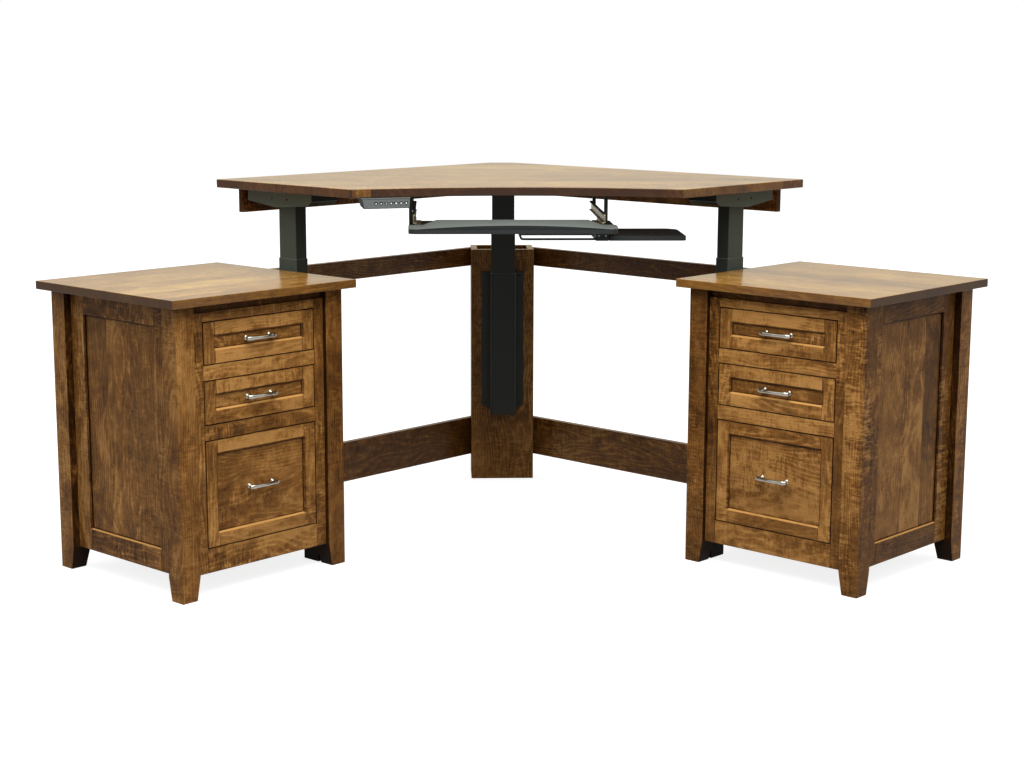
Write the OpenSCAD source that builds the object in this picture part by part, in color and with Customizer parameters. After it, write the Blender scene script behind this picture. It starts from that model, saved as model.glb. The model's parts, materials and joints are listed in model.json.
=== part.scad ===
// Corner standing desk: a concave-fronted desktop on three lifting columns,
// carried by a corner post and two drawer pedestals, with a pull-out keyboard tray.
//
// Wall coordinates: a runs along a wall from the room corner, b runs into the room.
// The right-hand half is drawn with x = a and y = -b, and the left-hand half is its mirror image.
// Pieces on the diagonal are drawn with x to the right and -y towards the sitter, then turned.

/* [Desktop] */
// Length of each wing along its wall, from the back corner to its end
wing_len = 1166; // [1150:1:1180]
// Depth of each wing, from its back edge to its front edge
wing_depth = 576; // [540:1:620]
// Height of the desktop's upper face above the floor, as photographed
desk_top_z = 1016; // [1000:1:1060]
// Thickness of the desktop
desk_t = 23; // [18:0.5:30]
// Straight front edge beside each wing end
front_flat = 48; // [30:1:80]
// Depth of the concave arc across the front
front_sag = 66; // [40:1:100]
// Length cut from each back edge at the corner
back_clip = 52; // [20:1:80]
// Height of the apron boards under the back edges
apron_h = 70; // [50:1:90]
// Thickness of the apron boards
apron_t = 18; // [15:1:25]
// Distance from the back edge to the apron's back face
apron_inset = 26; // [15:1:40]
// Distance from the back corner to where each apron starts
apron_start = 235; // [230:1:400]
// Distance from the wing's end to the apron's end
apron_end_gap = 57; // [55:1:120]

/* [Pedestals] */
// Distance from the back corner to the inner edge of a pedestal top
ped_start = 1113; // [1110:1:1125]
// Width of a pedestal top, along the wall
ped_w = 603; // [560:1:660]
// Depth of a pedestal top
ped_d = 584; // [560:1:620]
// How far a pedestal top reaches behind the desktop's back edge
ped_behind = 72; // [50:1:90]
// Height of a pedestal top's upper face
ped_h = 774; // [760:1:780]
// Thickness of a pedestal top
ped_top_t = 22; // [18:1:28]
// Overhang of a pedestal top beyond the legs
top_overhang = 28; // [20:1:35]
// Width and depth of a leg
leg_size = 57; // [50:1:65]
// How far each inner face of a foot tapers in
foot_taper = 11; // [4:1:18]
// Clear height under the frames
floor_gap = 61; // [50:1:80]
// Thickness of the frame members
frame_t = 20; // [16:1:22]
// How far the legs stand proud of the side frames
side_setback = 20; // [12:1:22]
// How far the legs stand proud of the front frame
front_setback = 11; // [6:1:16]
// Width of the side frames' upright members
side_stile = 57; // [45:1:70]
// Height of the side frames' rails
side_rail = 61; // [45:1:75]
// Thickness of the flat panels
panel_t = 8; // [6:1:10]
// Depth from a frame's face to its panel
panel_recess = 7; // [4:1:9]
// Depth of a panel's edge in its groove
panel_tongue = 7; // [4:1:10]
// Length of the support block behind each inner front foot
foot_block = 58; // [40:1:80]

/* [Drawers] */
// Width of the front frame's upright members
face_stile = 33; // [28:1:45]
// Height of the front frame's top rail
face_top_rail = 46; // [35:1:60]
// Height of the rails between the drawers
face_mid_rail = 38; // [28:1:45]
// Height of the front frame's bottom rail
face_bottom_rail = 63; // [50:1:75]
// Height of the top drawer's opening
top_opening = 111; // [95:1:130]
// Height of the middle drawer's opening
middle_opening = 115; // [95:1:130]
// Gap round each inset drawer front
drawer_gap = 2; // [1:0.5:3]
// Width of the drawer fronts' frame members
drawer_member = 38; // [30:1:45]
// Thickness of the drawer boxes' sides
box_t = 12; // [10:1:16]
// Thickness of the drawer boxes' bottoms
box_bottom_t = 6; // [4:1:9]
// Clear space behind the drawer boxes
box_clear = 34; // [20:1:60]
// Least height of one dovetail and its pin
tail_pitch = 28; // [20:1:40]
// Share of that height that a dovetail takes at its root
tail_share = 0.5; // [0.4:0.01:0.6]
// Slope of the dovetails' sides in degrees
tail_slope = 8; // [6:0.5:12]
// Depth of a drawer slide across its face
slide_t = 12.5; // [12:0.1:14]
// Height of a drawer slide
slide_h = 42; // [35:1:46]
// How much shorter the drawer slides are than the drawer boxes
slide_short = 10; // [0:1:40]
// Distance between the feet of a bar pull
pull_span = 76; // [64:1:96]
// Overall width of a bar pull
pull_w = 98; // [90:1:130]
// Diameter of a pull's bar
pull_d = 8; // [6:0.5:10]
// How far a pull stands off its drawer
pull_reach = 27; // [24:1:34]
// How far a pull's bar bows out in the middle
pull_bow = 6; // [3:0.5:8]

/* [Post and rails] */
// Width of the corner post
post_w = 200; // [170:1:210]
// Depth of the corner post
post_d = 150; // [120:1:152]
// Height of the corner post
post_h = 747; // [700:1:760]
// Thickness of the corner post's boards
post_t = 20; // [16:1:24]
// Distance from the desktop's back corner to the post's front face, along the diagonal
post_front = 152; // [150:1:160]
// Thickness of the back rails
rail_t = 20; // [16:1:24]
// How far the back rails' front faces lie behind the desktop's back edge
rail_behind = 18; // [10:1:22]
// Height of the upper back rail
upper_rail_h = 58; // [50:1:75]
// Height above the floor of the upper back rail
upper_rail_z = 687; // [660:1:687]
// Height of the lower back rail
lower_rail_h = 122; // [90:1:150]
// Height above the floor of the lower back rail
lower_rail_z = 66; // [50:1:90]

/* [Lifting columns] */
// Longer outside size of an outer tube
outer_long = 80; // [78:1:90]
// Shorter outside size of an outer tube
outer_short = 50; // [48:1:56]
// Wall of each tube
tube_wall = 2; // [1.5:0.1:2.2]
// Running clearance between nested tubes
tube_gap = 0.5; // [0.3:0.1:0.8]
// Outside corner radius of an outer tube
tube_corner = 8; // [7:0.5:12]
// Height above the floor of an outer tube's lower end
outer_z = 222; // [180:1:225]
// Length of an outer tube
outer_len = 455; // [440:1:480]
// Length of a middle tube
mid_len = 467; // [440:1:470]
// Height of a middle tube's lower end, as photographed
mid_z = 335; // [330:1:345]
// Height of an inner tube's lower end, as photographed
inner_z = 442; // [440:1:460]
// Distance from the back corner to a side column's centre, along the wall
side_column_a = 1062; // [1055:1:1064]
// Distance from the desktop's back edge to a side column's centre
side_column_b = 200; // [190:1:215]
// Width of a column's mounting plate
plate_w = 133; // [120:1:140]
// Thickness of a column's mounting plate
plate_t = 4; // [3:0.5:5]
// Length of a column's mounting plate
plate_len = 438; // [400:1:450]
// Radius of a column plate's lower corners
plate_corner = 8; // [3:1:20]
// Depth of the cheeks that hug an outer tube
cheek_d = 22; // [12:1:36]
// Thickness of those cheeks
cheek_t = 4; // [3:0.5:6]
// Width of the mounting board beside each side column
board_w = 150; // [140:1:200]
// Thickness of the mounting boards
board_t = 20; // [16:1:26]
// Height of a mounting board's upper end above the floor
board_top = 700; // [690:1:715]
// Height of the cleats that hold a mounting board off its pedestal
cleat_h = 60; // [40:1:80]

/* [Lifting heads] */
// Length of a lifting head under the desktop
head_len = 266; // [220:1:280]
// Width of a lifting head
head_w = 94; // [86:1:98]
// Height of a lifting head at its deepest point
head_h = 48; // [45:0.5:54]
// How far the deepest point lies behind the column's centre
head_crown = 15; // [0:1:40]
// Height of a lifting head at its back end
head_back_h = 34; // [26:1:42]
// Height of a lifting head at its front end
head_front_h = 25; // [18:1:34]
// Height of a lifting head behind the chamfer at its front end
head_nose_h = 38; // [35:1:44]
// Length of that chamfer
head_nose = 18; // [8:1:30]
// Width of the flanges that are screwed to the desktop
head_flange = 8; // [6:1:12]
// Length of each of those flanges
head_tab = 70; // [50:1:90]
// Diameter of the holes in a lifting head's sides
head_hole_d = 6; // [4:0.5:8]
// Distance between those holes
head_hole_gap = 62; // [50:1:90]
// Thickness of a lifting head's folded steel
head_wall = 3; // [2:0.5:4]
// Diameter of a lift motor
motor_d = 30; // [26:1:32]
// Length of a lift motor
motor_len = 62; // [50:1:70]
// Height of the gearbox on top of each inner tube
gearbox_h = 38; // [34:1:42]

/* [Controls] */
// Width of the hand control
handset_w = 133; // [110:1:150]
// Height of the hand control
handset_h = 29; // [24:1:34]
// Depth of the hand control
handset_d = 36; // [30:1:40]
// Distance from the middle of the desk to the hand control's centre
handset_x = 345; // [330:1:350]
// How far the hand control's face stands ahead of the desktop's edge
handset_lead = 4; // [0:1:10]
// How far the hand control's left end slopes in towards its lower edge
handset_slant = 9; // [0:1:20]
// Diameter of the hand control's keys
key_d = 7; // [5:0.5:9]
// Distance between two keys
key_pitch = 13.7; // [10:0.1:15]
// Distance from the hand control's right end to its last key
key_end = 11; // [8:0.5:16]
// Length of the control box
control_len = 240; // [200:1:280]
// Width of the control box
control_w = 105; // [90:1:120]
// Height of the control box
control_h = 38; // [30:1:45]
// Distance from the back corner to the control box's middle, along the diagonal
control_y = 520; // [450:1:600]

/* [Keyboard tray] */
// How far the tray's middle lies to the left of the desk's middle
tray_left = 12; // [0:1:20]
// Width of the tray
tray_w = 548; // [500:1:580]
// Depth of the tray
tray_d = 262; // [230:1:280]
// Thickness of the tray's board
tray_t = 12; // [10:1:14]
// Height above the floor of the tray's underside, as photographed
tray_z = 902; // [900:1:906]
// Distance from the back corner to the tray's front, pulled out, along the diagonal
tray_front = 1240; // [1220:1:1260]
// Depth of the palm rest
palm_d = 78; // [60:1:90]
// Height of the palm rest's front edge at the tray's ends
palm_end_h = 10; // [8:1:12]
// Height of the palm rest's front edge in the middle
palm_mid_h = 22; // [16:1:28]
// Height of the palm rest's back edge in the middle
palm_back_h = 31; // [24:1:36]
// Height of the palm rest's ends, where it passes under the tray slides
palm_heel_h = 17.5; // [12:0.5:18]
// Length of each of those low ends
palm_heel = 38; // [34:1:60]
// Length over which the palm rest rises beside them
palm_slope = 36; // [10:1:60]
// Corner radius of the tray's front
tray_corner = 22; // [5:1:40]
// How far the tray slides' middle lies to the left of the desk's middle
slide_left = 20; // [12:1:24]
// Distance from that middle to each tray slide
slide_x = 248; // [245:1:258]
// Height of a tray slide's channel
channel_h = 26; // [22:1:36]
// Depth of a tray slide's channel
channel_t = 8; // [7:0.5:10]
// Length of a tray slide
channel_len = 400; // [330:1:420]
// Distance from the back corner to the front end of the fixed channels, along the diagonal
channel_front = 1110; // [1090:1:1130]
// Height above the floor of a tray slide's middle
channel_z = 934; // [932:1:940]
// Thickness of the hangers' steel
hanger_t = 3; // [2:0.5:4]
// Thickness of a hanger's drop bars
hanger_post = 9.5; // [8:0.5:11]
// Width of a hanger's drop bars along the slide
hanger_strip = 12; // [8:1:24]
// Width of a hanger's flange under the desktop
hanger_flange = 24; // [18:1:34]
// Distance from each end of a channel to its drop strip
hanger_end = 10; // [5:1:30]
// Width of the feet that carry the tray on its slides
slide_foot = 14; // [10:1:20]
// Length of a tray slide's moving member
member_len = 440; // [400:1:460]

/* [Mouse platform] */
// Width of the mouse platform
mouse_w = 207; // [190:1:215]
// Depth of the mouse platform
mouse_d = 225; // [200:1:230]
// Thickness of the mouse platform
mouse_t = 12; // [9:1:14]
// Height above the floor of the mouse platform's upper face, as photographed
mouse_z = 885; // [884:1:887]
// Radius of the mouse platform's outer back corner
mouse_corner = 42; // [20:1:90]
// Radius of the mouse platform's outer front corner
mouse_nose = 15; // [6:1:40]
// Distance from the back corner to the mouse platform's front, along the diagonal
mouse_front = 1128; // [1110:1:1130]
// Distance from the tray's middle to the mouse platform's inner end, pushed in
mouse_start = 260; // [250:1:262]
// Diameter of the guide rods
rod_d = 6; // [5:0.5:7]
// Distance between the two guide rods
rod_spacing = 132; // [120:1:160]
// Free length of the guide rods beside their housing
rod_free = 198; // [150:1:200]
// How deep the guide rods sit in the mouse platform
rod_seat = 24; // [10:1:40]
// Distance from the mouse platform's front edge to the front rod
rod_front = 7; // [6:0.5:20]
// Radius of the guide rods' bends
rod_bend = 12; // [8:1:40]
// Length of the guide rods' housing along the rods
housing_w = 34; // [28:1:60]
// How far the housing reaches beyond each rod
housing_edge = 9; // [6:1:20]
// How far the housing reaches below the rods' centres
housing_drop = 4; // [4:0.5:10]
// Running clearance round a guide rod
rod_gap = 0.1; // [0.05:0.05:0.3]

/* [Hidden] */
$fn = 48;
joint_gap = 0.2;
seat_gap = 0.3;
diag = sqrt(2);

desk_under = desk_top_z - desk_t;
arc_x = (wing_len - front_flat - wing_depth) / diag;
arc_y = (wing_len - front_flat + wing_depth) / diag;
arc_r = (arc_x * arc_x + front_sag * front_sag) / (2 * front_sag);

ped_end = ped_start + ped_w;
ped_front = ped_d - ped_behind;
ped_under = ped_h - ped_top_t;
leg_a0 = ped_start + top_overhang;
leg_a1 = ped_end - top_overhang;
leg_b0 = top_overhang - ped_behind;
leg_b1 = ped_front - top_overhang;
face_b = leg_b1 - front_setback;
side_w = leg_b1 - leg_b0 - 2 * leg_size - 2 * joint_gap;
side_h = ped_under - floor_gap - joint_gap;
face_w = leg_a1 - leg_a0 - 2 * leg_size - 2 * joint_gap;
face_a0 = leg_a0 + leg_size + joint_gap;
opening_w = face_w - 2 * face_stile;
opening_a0 = face_a0 + face_stile;
back_t = 9;
back_b = leg_b0 + 14;
inner_a0 = leg_a0 + side_setback + frame_t;
inner_a1 = leg_a1 - side_setback - frame_t;

top_z1 = ped_under - face_top_rail;
top_z0 = top_z1 - top_opening;
middle_z1 = top_z0 - face_mid_rail;
middle_z0 = middle_z1 - middle_opening;
file_z1 = middle_z0 - face_mid_rail;
file_z0 = floor_gap + face_bottom_rail;
OPENINGS = [[top_z0, top_z1], [middle_z0, middle_z1], [file_z0, file_z1]];
box_a0 = opening_a0 + slide_t;
box_w = opening_w - 2 * slide_t;
box_front_b = face_b - frame_t - joint_gap;
box_len = box_front_b - back_b - back_t - box_clear;
slide_len = box_len - slide_short;
bottom_tongue = 5;
box_lift = 8;
box_drop = 12;
slide_lift = 14;
slide_steel = 1.5;
key_count = 7;
key_rise = 1;
pull_foot_d = 13;
pull_foot_h = 5;

mid_long = outer_long - 2 * (tube_wall + tube_gap);
mid_short = outer_short - 2 * (tube_wall + tube_gap);
mid_corner = tube_corner - tube_wall - tube_gap;
inner_long = mid_long - 2 * (tube_wall + tube_gap);
inner_short = mid_short - 2 * (tube_wall + tube_gap);
inner_corner = mid_corner - tube_wall - tube_gap;
inner_top_z = desk_under - head_wall - gearbox_h - 2 * joint_gap;
plate_z = outer_z + outer_len - plate_len;
plate_a = side_column_a + outer_short / 2;
centre_column_y = post_front + plate_t + outer_short / 2;
board_a0 = plate_a + plate_t;
board_a1 = leg_a0 + side_setback;
rail_end_a = leg_a0;

tray_y0 = -tray_front;
tray_y1 = tray_d - tray_front;
tray_top = tray_z + tray_t;
rod_y = -mouse_front + rod_front + rod_spacing / 2;
rod_z = mouse_z - mouse_t + rod_d / 2 + 1;

place = [-(ped_end - ped_behind) / 2, (ped_end - ped_behind) / 2, 0];

WOOD = "#7a4a24";
DARK_WOOD = "#4f2f18";
MAPLE = "#d8b888";
BLACK = "#26282a";
STEEL = "#8f9296";
ZINC = "#b9a66f";
CHROME = "#d9dcdf";
GREY = "#6c7074";
DARK = "#34373a";

// Places the right-hand half, the mirrored left-hand half and the pieces on the diagonal.
module right() { translate(place) children(); }
module left() { translate(place) mirror([1, 1, 0]) children(); }
module diagonal() { translate(place) rotate(45) children(); }
module both() { right() children(); left() children(); }

// A board between two values of a, of b and of height.
module board(a, b, z) {
    translate([a[0], -b[1], z[0]]) cube([a[1] - a[0], b[1] - b[0], z[1] - z[0]]);
}

// A block centred on x and y, standing on z.
module block(size, at) {
    translate([at[0] - size[0] / 2, at[1] - size[1] / 2, at[2]]) cube(size);
}

module rounded(size, r) {
    square([size[0] - 2 * r, size[1]], center = true);
    square([size[0], size[1] - 2 * r], center = true);
    for (x = [-1, 1], y = [-1, 1])
        translate([x * (size[0] / 2 - r), y * (size[1] / 2 - r)]) circle(r);
}

// Two stiles and two rails round an opening, front face at y = 0, facing -y.
module frame_members(w, h, t, stile, top, bottom) {
    for (x = [0, w - stile]) translate([x, 0, 0]) cube([stile, t, h]);
    rail_w = w - 2 * stile - 2 * joint_gap;
    for (z = [[0, bottom], [h - top, top]])
        translate([stile + joint_gap, 0, z[0]]) cube([rail_w, t, z[1]]);
}

// The flat panel of such a frame, its edge reaching into the groove by the tongue.
module frame_panel(w, h, stile, top, bottom, spare = 0) {
    reach = panel_tongue + spare;
    translate([stile - reach, panel_recess - spare, bottom - reach])
        cube([w - 2 * stile + 2 * reach, panel_t + 2 * spare, h - top - bottom + 2 * reach]);
}

module grooved_frame(w, h, t, stile, top, bottom) {
    difference() {
        frame_members(w, h, t, stile, top, bottom);
        frame_panel(w, h, stile, top, bottom, joint_gap);
    }
}

module desk_outline() {
    difference() {
        polygon([
            [back_clip, 0], [wing_len, 0], [wing_len, -wing_depth],
            [wing_len - front_flat, -wing_depth], [wing_depth, front_flat - wing_len],
            [wing_depth, -wing_len], [0, -wing_len], [0, -back_clip],
        ]);
        rotate(45) translate([0, -arc_y + front_sag - arc_r]) circle(arc_r, $fn = 360);
    }
}

module desktop() {
    color(WOOD) translate([0, 0, desk_under]) translate(place)
        linear_extrude(desk_t) desk_outline();
}

module aprons() {
    z = desk_under - joint_gap;
    color(WOOD) both()
        board([apron_start, wing_len - apron_end_gap], [apron_inset, apron_inset + apron_t],
              [z - apron_h, z]);
}

module corner_post() {
    front = -post_front;
    color(WOOD) diagonal() {
        for (y = [front + post_t / 2, front + post_d - post_t / 2])
            block([post_w, post_t, post_h], [0, y, 0]);
        for (x = [-1, 1])
            block([post_t, post_d - 2 * post_t - 2 * joint_gap, post_h],
                  [x * (post_w - post_t) / 2, front + post_d / 2, 0]);
    }
}

// The rails start against the corner post's slanting side and end at the rear leg.
module back_rails() {
    b = [-rail_behind - rail_t, -rail_behind];
    for (z = [[lower_rail_z, lower_rail_z + lower_rail_h], [upper_rail_z, upper_rail_z + upper_rail_h]])
        difference() {
            board([0, rail_end_a - joint_gap], b, z);
            rotate(45) translate([-post_w / 2 - joint_gap, -post_front - 1, z[0] - 1])
                cube([post_w + 2 * joint_gap, 2 * post_front, z[1] - z[0] + 2]);
        }
}

module left_rails() { color(DARK_WOOD) left() back_rails(); }
module right_rails() { color(DARK_WOOD) right() back_rails(); }

module pedestal_top() {
    board([ped_start, ped_end], [-ped_behind, ped_front], [ped_under, ped_h]);
}

// A leg's foot tapers on the two faces that look towards the middle of the pedestal.
module leg(a_side, b_side) {
    h = ped_under - joint_gap;
    profile = [
        [0, 0], [leg_size - foot_taper, 0], [leg_size, floor_gap], [leg_size, h], [0, h],
    ];
    mirror([a_side, 0, 0]) mirror([0, b_side, 0]) intersection() {
        translate([0, leg_size, 0]) rotate([90, 0, 0]) linear_extrude(leg_size) polygon(profile);
        rotate([90, 0, 90]) linear_extrude(leg_size) polygon(profile);
    }
}

module legs() {
    translate([leg_a0, -leg_b1, 0]) leg(0, 0);
    translate([leg_a0, -leg_b0, 0]) leg(0, 1);
    translate([leg_a1, -leg_b1, 0]) leg(1, 0);
    translate([leg_a1, -leg_b0, 0]) leg(1, 1);
    b = leg_b1 - leg_size - joint_gap;
    board([leg_a0 + side_setback, leg_a0 + leg_size - foot_taper], [b - foot_block, b],
          [0, floor_gap - joint_gap]);
}

module face_frame() {
    translate([face_a0, -face_b, floor_gap]) {
        for (x = [0, face_w - face_stile]) translate([x, 0, 0]) cube([face_stile, frame_t, side_h]);
    }
    a = [opening_a0 + joint_gap, opening_a0 + opening_w - joint_gap];
    b = [face_b - frame_t, face_b];
    board(a, b, [floor_gap, file_z0]);
    board(a, b, [file_z1, middle_z0]);
    board(a, b, [middle_z1, top_z0]);
    board(a, b, [top_z1, floor_gap + side_h]);
}

module on_outer_side() {
    translate([leg_a1 - side_setback, -leg_b1 + leg_size + joint_gap, floor_gap]) rotate(90) children();
}

module on_inner_side() {
    translate([leg_a0 + side_setback, -leg_b0 - leg_size - joint_gap, floor_gap]) rotate(-90) children();
}

// The side frames, and the packing that brings the drawer slides flush with the opening.
module side_frames() {
    on_outer_side() grooved_frame(side_w, side_h, frame_t, side_stile, side_rail, side_rail);
    on_inner_side() grooved_frame(side_w, side_h, frame_t, side_stile, side_rail, side_rail);
    b = [box_front_b - joint_gap - slide_len, leg_b1 - leg_size - joint_gap];
    for (opening = OPENINGS) {
        z = [opening[0] + slide_lift, opening[0] + slide_lift + slide_h];
        board([inner_a0 + joint_gap, opening_a0 - joint_gap], b, z);
        board([opening_a0 + opening_w + joint_gap, inner_a1 - joint_gap], b, z);
    }
}

module panels() {
    on_outer_side() frame_panel(side_w, side_h, side_stile, side_rail, side_rail);
    on_inner_side() frame_panel(side_w, side_h, side_stile, side_rail, side_rail);
    board([leg_a0 + leg_size + joint_gap, leg_a1 - leg_size - joint_gap], [back_b, back_b + back_t],
          [floor_gap, ped_under - joint_gap]);
}

// A slide's channel, open towards the drawer, at x = 0 with its back at -x.
module slide_channel() {
    t = slide_t - seat_gap;
    rotate([90, 0, 0]) linear_extrude(slide_len)
        difference() {
            square([t, slide_h]);
            translate([slide_steel, slide_steel]) square([t, slide_h - 2 * slide_steel]);
        }
}

module drawer_slides() {
    for (z = OPENINGS) {
        y = -box_front_b + slide_len + joint_gap;
        translate([opening_a0, y, z[0] + slide_lift]) slide_channel();
        translate([opening_a0 + opening_w, y, z[0] + slide_lift]) mirror([1, 0, 0]) slide_channel();
    }
}

module drawer_front(z) {
    w = opening_w - 2 * drawer_gap;
    h = z[1] - z[0] - 2 * drawer_gap;
    translate([opening_a0 + drawer_gap, -face_b, z[0] + drawer_gap]) {
        grooved_frame(w, h, frame_t, drawer_member, drawer_member, drawer_member);
        frame_panel(w, h, drawer_member, drawer_member, drawer_member);
    }
}

// The dovetails at the front end of a drawer's left side, wider towards their tips.
module tails(h, spare = 0) {
    count = floor(h / tail_pitch);
    pitch = h / count;
    root = pitch * tail_share / 2 + spare;
    tip = root + box_t * tan(tail_slope);
    for (i = [0:count - 1]) translate([-spare, 0, (i + 0.5) * pitch])
        rotate([90, 0, 90]) linear_extrude(box_t + 2 * spare)
            polygon([[-spare, -tip], [box_t + joint_gap, -root], [box_t + joint_gap, root], [-spare, tip]]);
}

// Puts what is drawn for the front left corner of a drawer at the named corners.
module at_ends() { for (end = [0, 1]) translate([0, end * box_len, 0]) mirror([0, end, 0]) children(); }
module at_sides() { for (side = [0, 1]) translate([side * box_w, 0, 0]) mirror([side, 0, 0]) children(); }

module box_bottom(spare = 0) {
    reach = box_t - bottom_tongue - spare;
    translate([reach, reach, box_t - spare])
        cube([box_w - 2 * reach, box_len - 2 * reach, box_bottom_t + 2 * spare]);
}

// A drawer box: sides with dovetails, front and back with pins, and a bottom in their grooves.
module drawer_box(z) {
    h = z[1] - z[0] - box_lift - box_drop;
    root = box_t + joint_gap;
    translate([box_a0, -box_front_b, z[0] + box_lift]) {
        at_sides() difference() {
            union() {
                translate([0, root, 0]) cube([box_t, box_len - 2 * root, h]);
                at_ends() tails(h);
            }
            box_bottom(joint_gap);
        }
        at_ends() difference() {
            cube([box_w, box_t, h]);
            at_sides() tails(h, joint_gap);
            box_bottom(joint_gap);
        }
        box_bottom();
    }
}

// An arched bar on two round feet, standing off the panel of a drawer front.
module bar_pull(z) {
    rise = pull_reach - pull_d / 2;
    half = pull_w / 2 - pull_d / 2;
    bar_r = (half * half + pull_bow * pull_bow) / (2 * pull_bow);
    sweep = asin(half / bar_r);
    foot_rise = rise - pull_bow * pow(pull_span / 2 / half, 2);
    translate([opening_a0 + opening_w / 2, -face_b + panel_recess, (z[0] + z[1]) / 2]) {
        for (x = [-1, 1]) translate([x * pull_span / 2, 0, 0]) rotate([90, 0, 0]) {
            cylinder(h = pull_foot_h, d = pull_foot_d);
            cylinder(h = foot_rise, d = pull_d);
        }
        translate([0, bar_r - rise, 0]) rotate(-90 - sweep)
            rotate_extrude(angle = 2 * sweep, $fn = 360) translate([bar_r, 0]) circle(d = pull_d, $fn = 48);
    }
}

module side_tube_at(z) {
    translate([side_column_a, -side_column_b, z]) rotate(90) children();
}

module centre_tube_at(z) {
    translate([0, -centre_column_y, z]) children();
}

module tube(long, short, corner, h) {
    linear_extrude(h) difference() {
        rounded([long, short], corner);
        rounded([long - 2 * tube_wall, short - 2 * tube_wall], corner - tube_wall);
    }
}

module outer_tube() { color(BLACK) tube(outer_long, outer_short, tube_corner, outer_len); }
module middle_tube() { color(BLACK) tube(mid_long, mid_short, mid_corner, mid_len); }
module inner_tube() { color(BLACK) tube(inner_long, inner_short, inner_corner, inner_top_z - inner_z); }

module column_boards() {
    b = [side_column_b - board_w / 2, side_column_b + board_w / 2];
    color(DARK_WOOD) both() {
        board([board_a0 + joint_gap, board_a0 + board_t], b, [floor_gap, board_top]);
        for (z = [floor_gap, board_top - cleat_h])
            board([board_a0 + board_t + joint_gap, board_a1 - joint_gap], b, [z, z + cleat_h]);
    }
}

// A plate behind an outer tube with two cheeks that hug the tube's short sides.
module column_plate() {
    t = plate_t - 2 * joint_gap;
    r = plate_corner;
    translate([0, outer_short / 2 + joint_gap, 0]) {
        translate([0, t, 0]) rotate([90, 0, 0]) linear_extrude(t) {
            translate([-plate_w / 2, r]) square([plate_w, plate_len - r]);
            translate([r - plate_w / 2, 0]) square([plate_w - 2 * r, plate_len]);
            for (x = [-1, 1]) translate([x * (plate_w / 2 - r), r]) circle(r);
        }
        for (side = [0, 1]) mirror([side, 0])
            translate([outer_long / 2 + joint_gap, -cheek_d, 0]) cube([cheek_t, cheek_d + t / 2, plate_len]);
    }
}

module column_plates() {
    color(BLACK) {
        both() side_tube_at(plate_z) mirror([0, 1, 0]) column_plate();
        diagonal() centre_tube_at(plate_z) column_plate();
    }
}

// A folded steel channel under the desktop, open below, with the back end at +x.
module head() {
    x = head_len / 2;
    side = [
        [-x, 0], [-x, -head_front_h], [head_nose - x, -head_nose_h], [head_crown, -head_h],
        [x, -head_back_h], [x, 0],
    ];
    translate([0, 0, desk_under - joint_gap]) {
        difference() {
            translate([0, head_w / 2, 0]) rotate([90, 0, 0]) linear_extrude(head_w) polygon(side);
            block([head_len - 2 * head_wall, head_w - 2 * head_wall, head_h], [0, 0, -head_wall - head_h]);
            for (end = [-1, 1]) translate([end * head_hole_gap / 2, head_w, -head_h / 2])
                rotate([90, 0, 0]) cylinder(h = 2 * head_w, d = head_hole_d);
        }
        w = head_w + 2 * head_flange;
        for (end = [-1, 1]) block([head_tab, w, head_wall], [end * (x - head_tab / 2), 0, -head_wall]);
    }
}

module lifting_heads() {
    color(BLACK) {
        both() side_tube_at(0) head();
        diagonal() centre_tube_at(0) head();
    }
}

// A gearbox caps the inner tube, and its motor lies beside it.
module motor() {
    translate([0, 0, inner_top_z + joint_gap]) {
        linear_extrude(gearbox_h - joint_gap) rounded([inner_long, inner_short], inner_corner);
        translate([0, 0, gearbox_h / 2]) rotate([0, 90, 0])
            cylinder(h = inner_long / 2 + motor_len, d = motor_d);
    }
}

module lift_motors() {
    color(DARK) {
        both() side_tube_at(0) motor();
        diagonal() centre_tube_at(0) motor();
    }
}

// The hand control hangs from the desktop's underside, its face leaning back below the keys.
module hand_control() {
    w = handset_w;
    h = handset_h;
    lean = 4;
    lip = 3;
    back_h = 6;
    edge_y = -arc_y + front_sag - arc_r + sqrt(arc_r * arc_r - handset_x * handset_x);
    face = [[-w / 2, h], [handset_slant - w / 2, 0], [w / 2, 0], [w / 2, h]];
    section = [[lean, 0], [0, h - lip], [0, h], [handset_d, h], [handset_d, back_h], [2.5 * lean, 0]];
    color(GREY) diagonal() translate([-handset_x, edge_y, desk_under - joint_gap - h])
        rotate(asin(handset_x / arc_r)) translate([0, -handset_lead, 0]) {
            intersection() {
                translate([0, handset_d, 0]) rotate([90, 0, 0]) linear_extrude(handset_d) polygon(face);
                translate([-w / 2, 0, 0]) rotate([90, 0, 90]) linear_extrude(w) polygon(section);
            }
            for (i = [0:key_count - 1]) translate([w / 2 - key_end - i * key_pitch, lean / 2, h / 2])
                rotate([90 - atan(lean / (h - lip)), 0, 0]) cylinder(h = key_rise, d = key_d);
        }
}

module control_box() {
    color(DARK) diagonal()
        block([control_len, control_w, control_h], [0, -control_y, desk_under - joint_gap - control_h]);
}

module tray_group() { diagonal() translate([-tray_left, 0, 0]) children(); }
module slide_group() {
    diagonal() translate([-slide_left, 0, 0]) for (side = [0, 1]) mirror([side, 0, 0]) children();
}

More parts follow.
